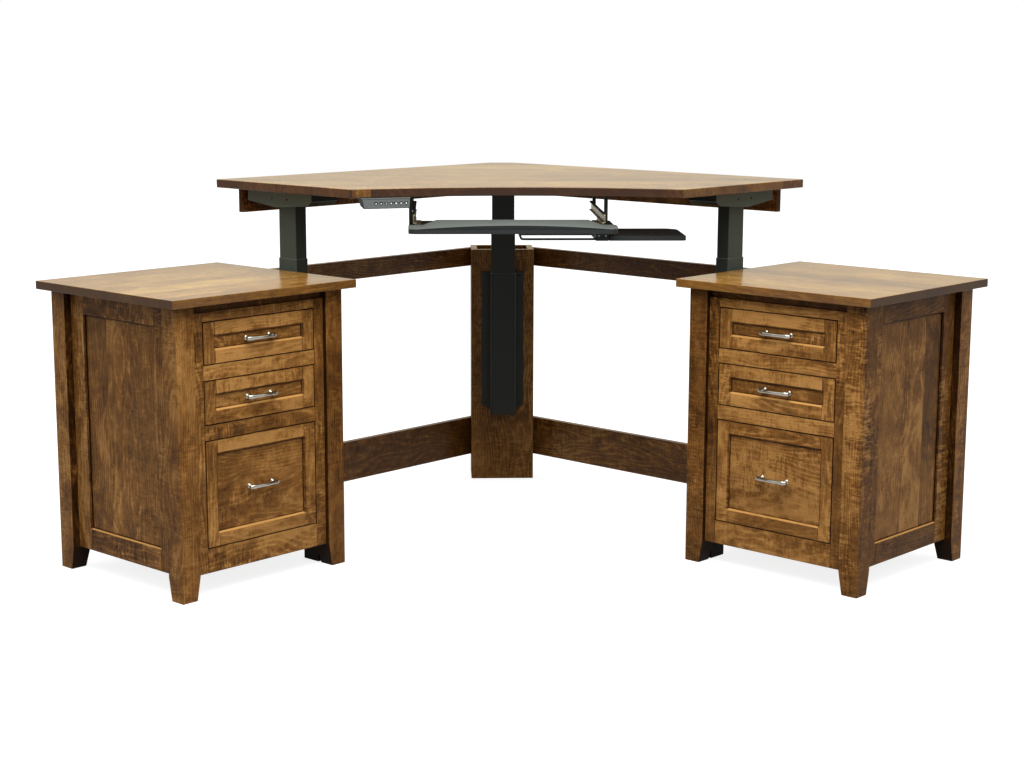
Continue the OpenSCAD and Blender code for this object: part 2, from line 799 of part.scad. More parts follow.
// A top flange, two drop strips and the fixed channel of a side slide.
module tray_hanger() {
    y0 = -channel_front;
    z = channel_z - channel_h / 2;
    x = slide_x + channel_t;
    top = desk_under - joint_gap;
    translate([x, y0, top - hanger_t]) cube([hanger_flange, channel_len, hanger_t]);
    for (y = [y0 + hanger_end, y0 + channel_len - hanger_end - hanger_strip])
        translate([x, y, z]) cube([hanger_post, hanger_strip, top - z]);
    translate([slide_x, y0 + channel_len, z]) rotate([90, 0, 0]) linear_extrude(channel_len)
        difference() {
            square([channel_t, channel_h]);
            translate([-slide_steel, slide_steel]) square([channel_t, channel_h - 2 * slide_steel]);
        }
}

module tray_hangers() { color(BLACK) slide_group() tray_hanger(); }

// The moving member runs in the channel and carries the tray on a folded foot.
module tray_slide() {
    h = channel_h - 2 * slide_steel - 2 * seat_gap;
    w = channel_t - slide_steel;
    y0 = -tray_front + palm_d + joint_gap;
    foot_len = tray_d - palm_d - 2 * joint_gap;
    x = slide_x - seat_gap;
    z = channel_z - h / 2;
    translate([x, y0 + member_len, z]) rotate([90, 0, 0]) linear_extrude(member_len)
        difference() {
            square([w, h]);
            translate([-slide_steel, slide_steel]) square([w, h - 2 * slide_steel]);
        }
    translate([x - slide_foot, y0, tray_top]) cube([slide_foot, foot_len, slide_steel]);
    translate([x - slide_steel, y0, tray_top]) cube([slide_steel, foot_len, z + slide_steel - tray_top]);
    translate([x - slide_steel, y0, z]) cube([2 * slide_steel, foot_len, slide_steel]);
}

module tray_slides() { color(ZINC) slide_group() tray_slide(); }

module tray_outline(depth) {
    r = tray_corner;
    for (side = [0, 1]) mirror([side, 0]) {
        translate([0, tray_y0 + r]) square([tray_w / 2, depth - r]);
        translate([0, tray_y0]) square([tray_w / 2 - r, depth]);
        translate([tray_w / 2 - r, tray_y0 + r]) circle(r);
    }
}

// The tray is thinner where the palm rest lies on it.
module keyboard_tray() {
    y = tray_y0 + palm_d;
    color(DARK) tray_group() translate([0, 0, tray_z]) {
        linear_extrude(palm_end_h) tray_outline(palm_d);
        translate([-tray_w / 2, y - joint_gap, 0])
            cube([tray_w, tray_d - palm_d + joint_gap, tray_t - joint_gap]);
    }
}

// A round arch across the tray, from its height at the ends to its height in the middle.
module palm_arch(end_h, mid_h) {
    rise = mid_h - end_h;
    r = (tray_w * tray_w / 4 + rise * rise) / (2 * rise);
    translate([0, 0, -2 * palm_d]) linear_extrude(3 * palm_d) translate([0, mid_h - r]) circle(r, $fn = 1440);
}

// The palm rest rises from an arched front edge to a level back edge with low ends.
module palm_rest() {
    base = palm_end_h + joint_gap;
    tilt = atan((palm_back_h - palm_end_h) / palm_d);
    w = tray_w / 2;
    x = w - palm_heel;
    back = [
        [-w, -palm_d], [-w, palm_heel_h], [-x, palm_heel_h], [palm_slope - x, palm_back_h],
        [x - palm_slope, palm_back_h], [x, palm_heel_h], [w, palm_heel_h], [w, -palm_d],
    ];
    color(GREY) tray_group() translate([0, tray_y0, tray_z]) intersection() {
        translate([0, -tray_y0, base]) linear_extrude(palm_back_h - base)
            tray_outline(palm_d - 2 * joint_gap);
        rotate([90 + tilt, 0, 0]) palm_arch(palm_end_h + 1, palm_mid_h);
        rotate([90, 0, 0]) translate([0, 0, -2 * palm_d]) linear_extrude(3 * palm_d) polygon(back);
    }
}

// A bar under the tray with a bore for each guide rod.
module rod_housing() {
    w = rod_spacing + 2 * housing_edge;
    z = rod_z - housing_drop;
    x = mouse_start - 2 - housing_w / 2;
    color(DARK) tray_group() difference() {
        block([housing_w, w, tray_z - joint_gap - z], [x, rod_y, z]);
        for (y = [-1, 1]) translate([x - housing_w, rod_y + y * rod_spacing / 2, rod_z])
            rotate([0, 90, 0]) cylinder(h = 2 * housing_w, d = rod_d + 2 * rod_gap);
    }
}

// A U-shaped rod that runs through the housing and carries the mouse platform.
module guide_rods() {
    x0 = mouse_start - 2 - housing_w - rod_free;
    x1 = mouse_start + rod_seat;
    half = rod_spacing / 2;
    color(BLACK) tray_group() translate([0, rod_y, rod_z]) {
        for (side = [0, 1]) mirror([0, side, 0]) {
            translate([x0 + rod_bend, half, 0]) rotate([0, 90, 0])
                cylinder(h = x1 - x0 - rod_bend, d = rod_d);
            translate([x0 + rod_bend, half - rod_bend, 0]) rotate(90)
                rotate_extrude(angle = 90, $fn = 96) translate([rod_bend, 0]) circle(d = rod_d, $fn = 24);
        }
        translate([x0, rod_bend - half, 0]) rotate([-90, 0, 0])
            cylinder(h = rod_spacing - 2 * rod_bend, d = rod_d);
    }
}

// A plate that sits on the ends of the guide rods.
module mouse_platform() {
    y0 = -mouse_front;
    x0 = mouse_start;
    x1 = mouse_start + mouse_w;
    corner = [[x1 - mouse_corner, y0 + mouse_d - mouse_corner], [x1 - mouse_nose, y0 + mouse_nose]];
    color(DARK) tray_group() difference() {
        translate([0, 0, mouse_z - mouse_t]) linear_extrude(mouse_t) union() {
            translate([x0, y0]) square([x1 - x0 - mouse_corner, mouse_d]);
            translate([x0, y0]) square([x1 - x0 - mouse_nose, mouse_d - mouse_corner]);
            translate([x0, y0 + mouse_nose]) square([x1 - x0, mouse_d - mouse_corner - mouse_nose]);
            translate(corner[0]) circle(mouse_corner, $fn = 96);
            translate(corner[1]) circle(mouse_nose);
        }
        for (y = [-1, 1]) translate([x0 - 1, rod_y + y * rod_spacing / 2, rod_z])
            rotate([0, 90, 0]) cylinder(h = rod_seat + 1 + joint_gap, d = rod_d + 2 * rod_gap);
    }
}

desktop();
aprons();
corner_post();
left_rails();
right_rails();
color(WOOD) left() pedestal_top();  // left_pedestal_top
color(WOOD) right() pedestal_top();  // right_pedestal_top
color(WOOD) left() legs();  // left_legs
color(WOOD) right() legs();  // right_legs
color(WOOD) left() face_frame();  // left_face_frame
color(WOOD) right() face_frame();  // right_face_frame
color(WOOD) left() side_frames();  // left_side_frames
color(WOOD) right() side_frames();  // right_side_frames
color(WOOD) left() panels();  // left_panels
color(WOOD) right() panels();  // right_panels
color(STEEL) left() drawer_slides();  // left_drawer_slides
color(STEEL) right() drawer_slides();  // right_drawer_slides
color(WOOD) left() drawer_front(OPENINGS[0]);  // left_top_front
color(MAPLE) left() drawer_box(OPENINGS[0]);  // left_top_box
color(CHROME) left() bar_pull(OPENINGS[0]);  // left_top_pull
color(WOOD) left() drawer_front(OPENINGS[1]);  // left_middle_front
color(MAPLE) left() drawer_box(OPENINGS[1]);  // left_middle_box
color(CHROME) left() bar_pull(OPENINGS[1]);  // left_middle_pull
color(WOOD) left() drawer_front(OPENINGS[2]);  // left_file_front
color(MAPLE) left() drawer_box(OPENINGS[2]);  // left_file_box
color(CHROME) left() bar_pull(OPENINGS[2]);  // left_file_pull
color(WOOD) right() drawer_front(OPENINGS[0]);  // right_top_front
color(MAPLE) right() drawer_box(OPENINGS[0]);  // right_top_box
color(CHROME) right() bar_pull(OPENINGS[0]);  // right_top_pull
color(WOOD) right() drawer_front(OPENINGS[1]);  // right_middle_front
color(MAPLE) right() drawer_box(OPENINGS[1]);  // right_middle_box
color(CHROME) right() bar_pull(OPENINGS[1]);  // right_middle_pull
color(WOOD) right() drawer_front(OPENINGS[2]);  // right_file_front
color(MAPLE) right() drawer_box(OPENINGS[2]);  // right_file_box
color(CHROME) right() bar_pull(OPENINGS[2]);  // right_file_pull
column_boards();
column_plates();
left() side_tube_at(outer_z) outer_tube();  // left_outer_tube
diagonal() centre_tube_at(outer_z) outer_tube();  // centre_outer_tube
right() side_tube_at(outer_z) outer_tube();  // right_outer_tube
left() side_tube_at(mid_z) middle_tube();  // left_middle_tube
diagonal() centre_tube_at(mid_z) middle_tube();  // centre_middle_tube
right() side_tube_at(mid_z) middle_tube();  // right_middle_tube
left() side_tube_at(inner_z) inner_tube();  // left_inner_tube
diagonal() centre_tube_at(inner_z) inner_tube();  // centre_inner_tube
right() side_tube_at(inner_z) inner_tube();  // right_inner_tube
lifting_heads();
lift_motors();
hand_control();
control_box();
tray_hangers();
tray_slides();
keyboard_tray();
palm_rest();
rod_housing();
guide_rods();
mouse_platform();
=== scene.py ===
import json
import logging
import math
import random
from collections.abc import Iterable
from dataclasses import dataclass
from enum import Enum
from functools import cache
from typing import ClassVar

import bmesh
import bpy
from mathutils import Matrix, Vector


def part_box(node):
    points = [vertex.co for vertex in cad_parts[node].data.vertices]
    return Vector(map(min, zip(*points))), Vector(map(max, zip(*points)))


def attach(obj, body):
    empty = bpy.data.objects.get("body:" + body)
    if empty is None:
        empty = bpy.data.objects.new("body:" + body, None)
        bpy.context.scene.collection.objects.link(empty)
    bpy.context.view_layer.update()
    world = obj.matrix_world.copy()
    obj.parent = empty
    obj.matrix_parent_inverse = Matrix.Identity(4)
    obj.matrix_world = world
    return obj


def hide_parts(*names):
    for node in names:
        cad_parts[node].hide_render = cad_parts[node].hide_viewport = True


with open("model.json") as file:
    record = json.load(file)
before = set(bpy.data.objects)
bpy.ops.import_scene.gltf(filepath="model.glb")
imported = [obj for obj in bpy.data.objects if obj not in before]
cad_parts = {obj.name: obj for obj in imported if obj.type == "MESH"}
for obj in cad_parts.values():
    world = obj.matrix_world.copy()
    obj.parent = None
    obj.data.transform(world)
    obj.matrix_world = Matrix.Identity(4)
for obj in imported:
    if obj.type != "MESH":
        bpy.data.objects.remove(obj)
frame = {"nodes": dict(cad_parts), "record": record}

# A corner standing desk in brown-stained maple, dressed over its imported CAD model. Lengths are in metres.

BMesh = bmesh.types.BMesh
BMVert = bmesh.types.BMVert
BMFace = bmesh.types.BMFace
Socket = bpy.types.NodeSocket
Triple = tuple[float, float, float]
Colour = Triple
Box = tuple[Vector, Vector]

LOG = logging.getLogger("desk")
MM = 0.001
WELD = 2e-5
FLAT = math.radians(0.3)
SHARP = math.radians(25)
CREASE = math.radians(35)
# The share of a face's normal that points a way: hardly, more or less, and squarely.
EDGE_ON = 0.1
FACING = 0.5
SQUARE_ON = 0.9
ALONG = Vector((1, 0, 0))
FRONT = Vector((0, -1, 0))
UP = Vector((0, 0, 1))
HALF_FOOTPRINT = 0.822
PLACE = Matrix.Translation((-HALF_FOOTPRINT, HALF_FOOTPRINT, 0))
NO_RIM = Vector((9, 9, 9))
FAR_IN = 1.0
WHITE = (1.0, 1.0, 1.0, 1.0)


def linear(colour: Colour) -> tuple[float, float, float, float]:
    """Turns a screen colour, 0 to 255, into the linear colour that a shader takes.

    Args:
        colour: Red, green and blue as a screen shows them.

    Returns:
        Linear red, green, blue and a full alpha.
    """
    shares = [c / 255 for c in colour]
    values = [s / 12.92 if s <= 0.04045 else ((s + 0.055) / 1.055) ** 2.4 for s in shares]
    return (values[0], values[1], values[2], 1.0)


def corners(points: Iterable[Vector]) -> Box:
    """The lowest and the highest corner of some points."""
    rows = list(zip(*points))
    return Vector([min(row) for row in rows]), Vector([max(row) for row in rows])


class Placing(Enum):
    """Where a group of pieces stands: along the right wall, along the left wall or on the diagonal."""

    RIGHT = "right"
    LEFT = "left"
    DIAGONAL = "diagonal"

    @property
    def matrix(self) -> Matrix:
        """The move from the group's own axes to the desk's."""
        if self is Placing.RIGHT:
            return PLACE
        if self is Placing.DIAGONAL:
            return PLACE @ Matrix.Rotation(math.radians(45), 4, "Z")
        return PLACE @ Matrix(((0, -1, 0, 0), (-1, 0, 0, 0), (0, 0, 1, 0), (0, 0, 0, 1)))

    @property
    def axes(self) -> tuple[Vector, Vector, Vector]:
        """The group's own directions, as directions of the desk."""
        turn = self.matrix.to_3x3()
        return tuple((turn @ axis).normalized() for axis in (ALONG, -FRONT, UP))

    def box(self, points: Iterable[Vector]) -> Box:
        """The corners of some points of the desk, along the group's own axes."""
        back = self.matrix.inverted()
        return corners([back @ p for p in points])

    def node_box(self, node: str) -> Box:
        """The corners of a CAD node, along the group's own axes."""
        return self.box(v.co for v in frame["nodes"][node].data.vertices)


class Lay(Enum):
    """Which way the grain runs in a board."""

    LENGTH = "length"
    ACROSS_THE_DESK = "across the desk"


@dataclass(frozen=True)
class Pattern:
    """Smooth noise: its features in a metre each way, its finer layers, how strong they are, and its warp."""

    scale: Triple
    detail: float = 2.0
    roughness: float = 0.5
    distortion: float = 0.0


CLOUD = Pattern((2.4, 5.0, 5.0))
BLOTCH = Pattern((8.0, 12.0, 12.0), 4.0, 0.62, 1.2)
MOTTLE = Pattern((34.0, 62.0, 62.0), 4.0, 0.65, 1.0)
RIPPLE = Pattern((120.0, 24.0, 24.0), 2.0, 0.45, 1.4)
RIPPLED_AREAS = Pattern((5.0, 12.0, 12.0))
FIBRE = Pattern((10.0, 420.0, 420.0), 2.0, 0.6)
RING_SWAY = Pattern((2.2, 7.0, 7.0))
BOARD_SHIFT = (37.0, 41.0, 43.0)
STAVE_SHIFT = (5.0, 7.0, 11.0)
COAT_CLOUD = Pattern((14.0, 14.0, 14.0), 3.0)
ORANGE_PEEL = Pattern((900.0, 900.0, 900.0), 1.0)
SMUDGES = Pattern((40.0, 40.0, 40.0), 3.0)
BRUSH_STREAKS = Pattern((25.0, 25.0, 1500.0), 1.0)
MOULD_CLOUD = Pattern((9.0, 9.0, 9.0), 3.0)
MOULD_GRIT = Pattern((1400.0, 1400.0, 1400.0))


class Nodes:
    """The nodes of a material, or of the light around the desk."""

    def __init__(self, tree: bpy.types.NodeTree) -> None:
        """Takes the tree that the nodes are added to."""
        self.tree = tree

    def add(self, kind: str, values: dict | None = None, **settings: object) -> bpy.types.Node:
        """Adds a node.

        Args:
            kind: The node's type, without its ShaderNode prefix.
            values: What each input holds or is fed from.
            settings: The node's own properties.

        Returns:
            The new node.
        """
        node = self.tree.nodes.new("ShaderNode" + kind)
        for key, value in settings.items():
            setattr(node, key, value)
        for key, value in (values or {}).items():
            self.feed(node.inputs[key], value)
        return node

    def feed(self, socket: Socket, value: object) -> None:
        """Links a socket to another, or sets what it holds."""
        if isinstance(value, Socket):
            self.tree.links.new(value, socket)
        else:
            socket.default_value = value

    def math(self, operation: str, *values: object, clamp: bool = False) -> Socket:
        """Works out one number from others."""
        return self.add("Math", dict(enumerate(values)), operation=operation, use_clamp=clamp).outputs[0]

    def scale_add(self, value: object, scale: object, start: object, clamp: bool = False) -> Socket:
        """Multiplies a number and adds another."""
        return self.math("MULTIPLY_ADD", value, scale, start, clamp=clamp)

    def between(self, share: object, low: float, high: float) -> Socket:
        """The number that lies a share of the way from one to another."""
        return self.scale_add(share, high - low, low)

    def parts(self, vector: Socket) -> list[Socket]:
        """The three numbers of a vector."""
        return list(self.add("SeparateXYZ", {0: vector}).outputs)

    def mix(self, factor: object, first: object, second: object) -> Socket:
        """Blends two colours."""
        return self.add("Mix", {0: factor, 6: first, 7: second}, data_type="RGBA").outputs[2]


class Shader(Nodes):
    """One material and the nodes that make it."""

    def __init__(self, name: str) -> None:
        """Starts an empty material with its surface shader.

        Args:
            name: The material's name.
        """
        self.material = bpy.data.materials.new(name)
        self.material.use_nodes = True
        super().__init__(self.material.node_tree)
        self.surface = self.tree.nodes["Principled BSDF"]

    def place(self) -> Socket:
        """Where a point lies in its piece."""
        return self.add("TexCoord").outputs["Object"]

    def vector(self, operation: str, *values: object) -> Socket:
        """Works out one vector from others."""
        return self.add("VectorMath", dict(enumerate(values)), operation=operation).outputs[0]

    def attribute(self, name: str, output: str = "Fac") -> Socket:
        """Reads a value that a piece's mesh carries."""
        return self.add("Attribute", attribute_name=name).outputs[output]

    def noises(self, place: Socket, *patterns: Pattern) -> list[Socket]:
        """Makes smooth noise, about 0 to 1 around a half, of each pattern."""
        return [self.add("TexNoise", {
            "Vector": self.add("Mapping", {"Vector": place, "Scale": p.scale}).outputs[0], "Scale": 1.0,
            "Detail": p.detail, "Roughness": p.roughness, "Distortion": p.distortion,
        }).outputs["Fac"] for p in patterns]

    def contrast(self, value: Socket, factor: float) -> Socket:
        """Spreads a number round a half and holds it between 0 and 1."""
        return self.scale_add(value, factor, 0.5 - factor / 2, clamp=True)

    def around(self, middle: float, value: Socket, spread: float) -> Socket:
        """A number that a pattern moves up and down round its middle."""
        return self.scale_add(value, spread, middle - spread / 2)

    def ramp(self, value: object, *stops: tuple[float, Colour]) -> Socket:
        """Turns a number into a colour.

        Args:
            value: The number, 0 to 1.
            stops: Numbers in rising order, each with its screen colour.

        Returns:
            The colour between the stops.
        """
        node = self.add("ValToRGB", {"Fac": value})
        elements = node.color_ramp.elements
        while len(elements) < len(stops):
            elements.new(0.5)
        for element, (position, colour) in zip(elements, stops):
            element.position, element.color = position, linear(colour)
        return node.outputs["Color"]

    def weighed(self, start: object, *parts: tuple[Socket, float]) -> Socket:
        """Adds up patterns, each around its own middle, a half.

        Args:
            start: The value where every pattern is at its middle.
            parts: Each pattern with its weight.

        Returns:
            The sum, held between 0 and 1.
        """
        total: object = start
        for pattern, weight in parts:
            total = self.scale_add(self.math("SUBTRACT", pattern, 0.5), weight, total)
        return self.math("ADD", total, 0.0, clamp=True)

    def bump(self, height: Socket, strength: float, depth: float) -> None:
        """Gives the surface fine relief, with its depth in metres."""
        values = {"Height": height, "Strength": strength, "Distance": depth}
        self.feed(self.surface.inputs["Normal"], self.add("Bump", values).outputs[0])

    def set(self, **values: object) -> None:
        """Sets or links inputs of the surface shader, with spaces written as underscores."""
        for key, value in values.items():
            self.feed(self.surface.inputs[key.replace("_", " ")], value)


class WoodShader(Shader):
    """The material of a wood, which knows where a point lies in its board."""

    def __init__(self, name: str) -> None:
        """Reads the board's chances, and how far a point is from its middle along, across and through it.

        Args:
            name: The material's name.
        """
        super().__init__(name)
        self.grain, self.lot = (self.attribute(layer, "Vector") for layer in ("grain", "lot"))
        self.own, self.lots = self.parts(self.grain), self.parts(self.lot)


@dataclass(frozen=True)
class StainedMaple:
    """Maple under a brown stain and varnish, with blotches, curly figure, rings, fibres and painted light and
    shade.
    """

    dark: Colour = (38, 21, 8)
    brown: Colour = (88, 54, 21)
    amber: Colour = (130, 85, 38)
    honey: Colour = (196, 144, 80)
    brown_at: float = 0.32
    amber_at: float = 0.6
    end: Colour = (66, 40, 18)
    end_share: float = 0.8
    end_roughness: float = 0.15
    red: Colour = (68, 46, 34)
    reddened: float = 0.0
    stave: float = 10.0
    stave_start: float = 0.25
    blotch: float = 1.45
    mottle: float = 0.95
    curl: float = 0.85
    curl_contrast: float = 2.8
    area_contrast: float = 3.6
    least_curl: float = 0.3
    ring: float = 0.24
    ring_pitch: float = 6.5 * MM
    ring_sway: float = 0.09
    ring_taper: float = 0.03
    ring_sharpness: float = 3.0
    pith_spread: float = 0.12
    pith_depth: float = 0.05
    fibre: float = 0.55
    fibre_roughness: float = 0.08
    tone: float = 0.24
    # How dark the painted shade is round each panel's rim, in its frame's recess.
    rim_painted_shade: float = 0.5
    rim: float = 4 * MM
    level: float = 0.54
    gloss: float = 0.1
    roughness: float = 0.34
    coat: float = 0.03
    coat_roughness: float = 0.1
    dulling: float = 2.0
    relief: float = 0.12
    relief_depth: float = 0.2 * MM
    ring_relief: float = 0.6

    def material(self, name: str) -> bpy.types.Material:
        """Makes the stained and varnished wood.

        Args:
            name: The material's name.

        Returns:
            The material.
        """
        wood = WoodShader(name)
        drawn = self.draw_stave(wood)
        place = wood.vector("MULTIPLY_ADD", wood.lot, BOARD_SHIFT, wood.grain)
        place = wood.vector("MULTIPLY_ADD", drawn, STAVE_SHIFT, place)
        cloud, blotch, mottle, fibre = wood.noises(place, CLOUD, BLOTCH, MOTTLE, FIBRE)
        curl, line = self.curly(wood, place), self.rings(wood, place)
        # The tone holds each board's own lightness and the painted light and shade of its faces.
        tone, end = wood.attribute("tone"), wood.attribute("endgrain")
        # Painted shade darkens each panel round its rim.
        start = wood.scale_add(self.rim_shade(wood), -self.rim_painted_shade, wood.math("ADD", tone, self.level))
        value = wood.weighed(
            start, (cloud, self.blotch), (blotch, self.blotch), (mottle, self.mottle), (curl, self.curl),
            (line, self.ring), (fibre, self.fibre), (wood.parts(drawn)[0], self.tone))
        stained = wood.ramp(
            value, (0.0, self.dark), (self.brown_at, self.brown), (self.amber_at, self.amber), (1.0, self.honey))
        if self.reddened:
            share = wood.math("MULTIPLY", tone, -self.reddened, clamp=True)
            stained = wood.mix(share, stained, linear(self.red))
        rough = wood.scale_add(end, self.end_roughness, self.roughness - self.fibre_roughness / 2)
        shine = wood.scale_add(tone, self.dulling, 1.0, clamp=True)
        wood.set(
            Base_Color=wood.mix(wood.math("MULTIPLY", end, self.end_share), stained, linear(self.end)),
            Roughness=wood.scale_add(fibre, self.fibre_roughness, rough), Specular_IOR_Level=self.gloss,
            Coat_Weight=wood.math("MULTIPLY", shine, self.coat), Coat_Roughness=self.coat_roughness)
        wood.bump(wood.scale_add(line, self.ring_relief, fibre), self.relief, self.relief_depth)
        return wood.material

    def draw_stave(self, wood: WoodShader) -> Socket:
        """Draws three chances for each stave that a board is glued up from.

        Args:
            wood: The wood's shader.

        Returns:
            The stave's chances.
        """
        first = wood.between(wood.lots[0], self.stave_start, 1 - self.stave_start)
        stave = wood.math("FLOOR", wood.scale_add(wood.own[1], 1 / self.stave, first))
        values = {"Vector": wood.lot, "W": stave}
        return wood.add("TexWhiteNoise", values, noise_dimensions="4D").outputs["Color"]

    def curly(self, wood: WoodShader, place: Socket) -> Socket:
        """Draws the curly figure, which ripples across the grain in some areas, more so on some boards.

        Args:
            wood: The wood's shader.
            place: Where the pattern is read.

        Returns:
            The ripples, around a half.
        """
        ripple, areas = wood.noises(place, RIPPLE, RIPPLED_AREAS)
        figured = wood.contrast(areas, self.area_contrast)
        figured = wood.math("MULTIPLY", figured, wood.between(wood.lots[0], self.least_curl, 1.0))
        rippled = wood.math("SUBTRACT", wood.contrast(ripple, self.curl_contrast), 0.5)
        return wood.scale_add(rippled, figured, 0.5)

    def rings(self, wood: WoodShader, place: Socket) -> Socket:
        """Draws the growth rings that a board cuts through, round a pith that its chances place.

        Args:
            wood: The wood's shader.
            place: Where the rings' sway is read.

        Returns:
            The rings, 0 to 1, as thin bright lines.
        """
        along, across, through = wood.own
        across = wood.scale_add(wood.lots[1], self.pith_spread, wood.math("ADD", across, -self.pith_spread / 2))
        depth = wood.scale_add(wood.lots[2], self.pith_spread, wood.math("ADD", through, self.pith_depth))
        squares = [wood.math("POWER", side, 2.0) for side in (across, depth)]
        radius = wood.scale_add(along, self.ring_taper, wood.math("SQRT", wood.math("ADD", *squares)))
        swayed = wood.scale_add(wood.noises(place, RING_SWAY)[0], self.ring_sway, radius)
        ring = wood.math("SINE", wood.math("MULTIPLY", swayed, 2 * math.pi / self.ring_pitch))
        return wood.math("POWER", wood.scale_add(ring, 0.5, 0.5), self.ring_sharpness)

    def rim_shade(self, wood: WoodShader) -> Socket:
        """Finds how close a point is to its face's edge, where shade is painted round a panel in its frame's
        recess.

        Args:
            wood: The wood's shader.

        Returns:
            1 at the edge, falling to 0 over the width of the rim.
        """
        half = wood.parts(wood.attribute("half", "Vector"))
        gaps = [wood.math("SUBTRACT", h, wood.math("ABSOLUTE", o)) for h, o in zip(half, wood.own)]
        low, high = (wood.math(name, gaps[0], gaps[1]) for name in ("MINIMUM", "MAXIMUM"))
        middle = wood.math("MAXIMUM", low, wood.math("MINIMUM", high, gaps[2]))
        return wood.math("POWER", wood.scale_add(middle, -1 / self.rim, 1.0, clamp=True), 2.0)


@dataclass(frozen=True)
class PlatedSteel:
    """Plated or brushed metal with faint smudges."""

    colour: Colour
    shade: Colour
    roughness: float
    brushed: float = 0.0
    smudged: float = 0.9
    bright: float = 0.6
    dulling: float = 0.6
    relief: float = 0.05
    brushed_relief: float = 0.1
    relief_depth: float = 0.05 * MM

    def material(self, name: str) -> bpy.types.Material:
        """Makes the plated metal.

        Args:
            name: The material's name.

        Returns:
            The material.
        """
        shader = Shader(name)
        smudge, streak = shader.noises(shader.place(), SMUDGES, BRUSH_STREAKS)
        colour = shader.ramp(
            shader.weighed(self.bright, (smudge, self.smudged), (streak, self.brushed)),
            (0.0, self.shade), (1.0, self.colour))
        rough = shader.around(self.roughness, smudge, self.roughness * self.dulling)
        shader.set(Base_Color=colour, Metallic=1.0, Roughness=rough)
        shader.bump(streak, self.relief + self.brushed_relief * self.brushed, self.relief_depth)
        return shader.material


@dataclass(frozen=True)
class Coated:
    """Powder-coated steel or moulded plastic, with a second colour where the mesh's tint says so: a painted
    highlight on the columns, painted shade on the palm rest.
    """

    colour: Colour
    shade: Colour
    roughness: float = 0.5
    second: Colour = (30, 32, 32)
    gloss: float = 0.35
    cloud: Pattern = MOULD_CLOUD
    cloudiness: float = 0.7
    grit: Pattern = MOULD_GRIT
    grittiness: float = 0.5
    dulled_by_cloud: bool = False
    dulling: float = 0.12
    relief: float = 0.2
    relief_depth: float = 0.1 * MM

    def material(self, name: str) -> bpy.types.Material:
        """Makes the coated surface.

        Args:
            name: The material's name.

        Returns:
            The material.
        """
        shader = Shader(name)
        cloud, grit = shader.noises(shader.place(), self.cloud, self.grit)
        colour = shader.ramp(
            shader.weighed(0.5, (cloud, self.cloudiness), (grit, self.grittiness)),
            (0.0, self.shade), (1.0, self.colour))
        rough = shader.around(self.roughness, cloud if self.dulled_by_cloud else grit, self.dulling)
        shader.set(
            Base_Color=shader.mix(shader.attribute("tint"), colour, linear(self.second)),
            Specular_IOR_Level=self.gloss, Roughness=rough)
        shader.bump(grit, self.relief, self.relief_depth)
        return shader.material


FINISHES = {
    "top_maple": StainedMaple(
        (46, 25, 12), (102, 65, 28), (150, 104, 45), (200, 158, 82), reddened=1.2, stave=0.105, blotch=0.7,
        mottle=0.4, curl=0.4, ring=0.14, level=0.64, gloss=0.3, roughness=0.22, coat=0.12),
    "frame_maple": StainedMaple(),
    "front_maple": StainedMaple(level=0.68),
    "panel_maple": StainedMaple(stave=0.098, tone=0.34, level=0.8),
    # The post's pale end grain is a painted reflection of the bright backdrop on its top.
    "post_maple": StainedMaple(level=0.58, blotch=0.8, curl=0.4, end=(196, 170, 132)),
    "rail_maple": StainedMaple(level=0.52, blotch=0.8, curl=0.45, gloss=0.26, end=(118, 82, 52)),
    # Its painted shade round panels' rims is faint.
    "box_maple": StainedMaple(
        (150, 112, 70), (184, 146, 98), (206, 172, 126), (228, 200, 158), end=(176, 138, 94), blotch=0.5,
        rim_painted_shade=0.1),
    # Its second colour is a painted highlight on the columns' outward faces.
    "black_steel": Coated(
        (46, 49, 42), (30, 32, 28), 0.45, (92, 104, 93), 0.3, COAT_CLOUD, 0.9, ORANGE_PEEL, 0.4,
        dulled_by_cloud=True, dulling=0.16, relief=0.25),
    "motor_housing": Coated((44, 44, 46), (30, 30, 32), 0.55),
    "slide_steel": PlatedSteel((196, 198, 202), (150, 152, 156), 0.3, 0.5),
    "zinc_steel": PlatedSteel((205, 196, 160), (150, 140, 100), 0.32, 0.6),
    "bright_nickel": PlatedSteel((218, 214, 204), (158, 154, 146), 0.08),
    "control_plastic": Coated((120, 126, 124), (104, 109, 107), 0.42, (26, 28, 28)),
    # Its second colour is painted shade on the palm rest's front.
    "grey_plastic": Coated((98, 103, 99), (86, 91, 88), 0.45, (28, 31, 31)),
    "dark_plastic": Coated((44, 47, 48), (32, 35, 36), 0.5),
    "white_print": Coated((236, 238, 238), (220, 222, 222), 0.5),
}
SLOTS = {row["node"]: row["material_slot"] for row in frame["record"]["subparts"]}
BODIES = {node: body for body, nodes in frame["record"]["behaviour"]["bodies"].items() for node in nodes}


@cache
def finish_material(finish: str) -> bpy.types.Material:
    """The material of a finish, made once."""
    return FINISHES[finish].material(finish)


def as_data(mesh: BMesh, name: str) -> bpy.types.Mesh:
    """Turns a mesh into the data of an object, and uses it up.

    Args:
        mesh: The mesh.
        name: The data's name.

    Returns:
        The data.
    """
    data = bpy.data.meshes.new(name)
    mesh.to_mesh(data)
    mesh.free()
    return data


def show(name: str, data: bpy.types.ID) -> bpy.types.Object:
    """Adds an object to the scene.

    Args:
        name: The object's name.
        data: Its data.

    Returns:
        The object.
    """
    item = bpy.data.objects.new(name, data)
    bpy.context.scene.collection.objects.link(item)
    return item


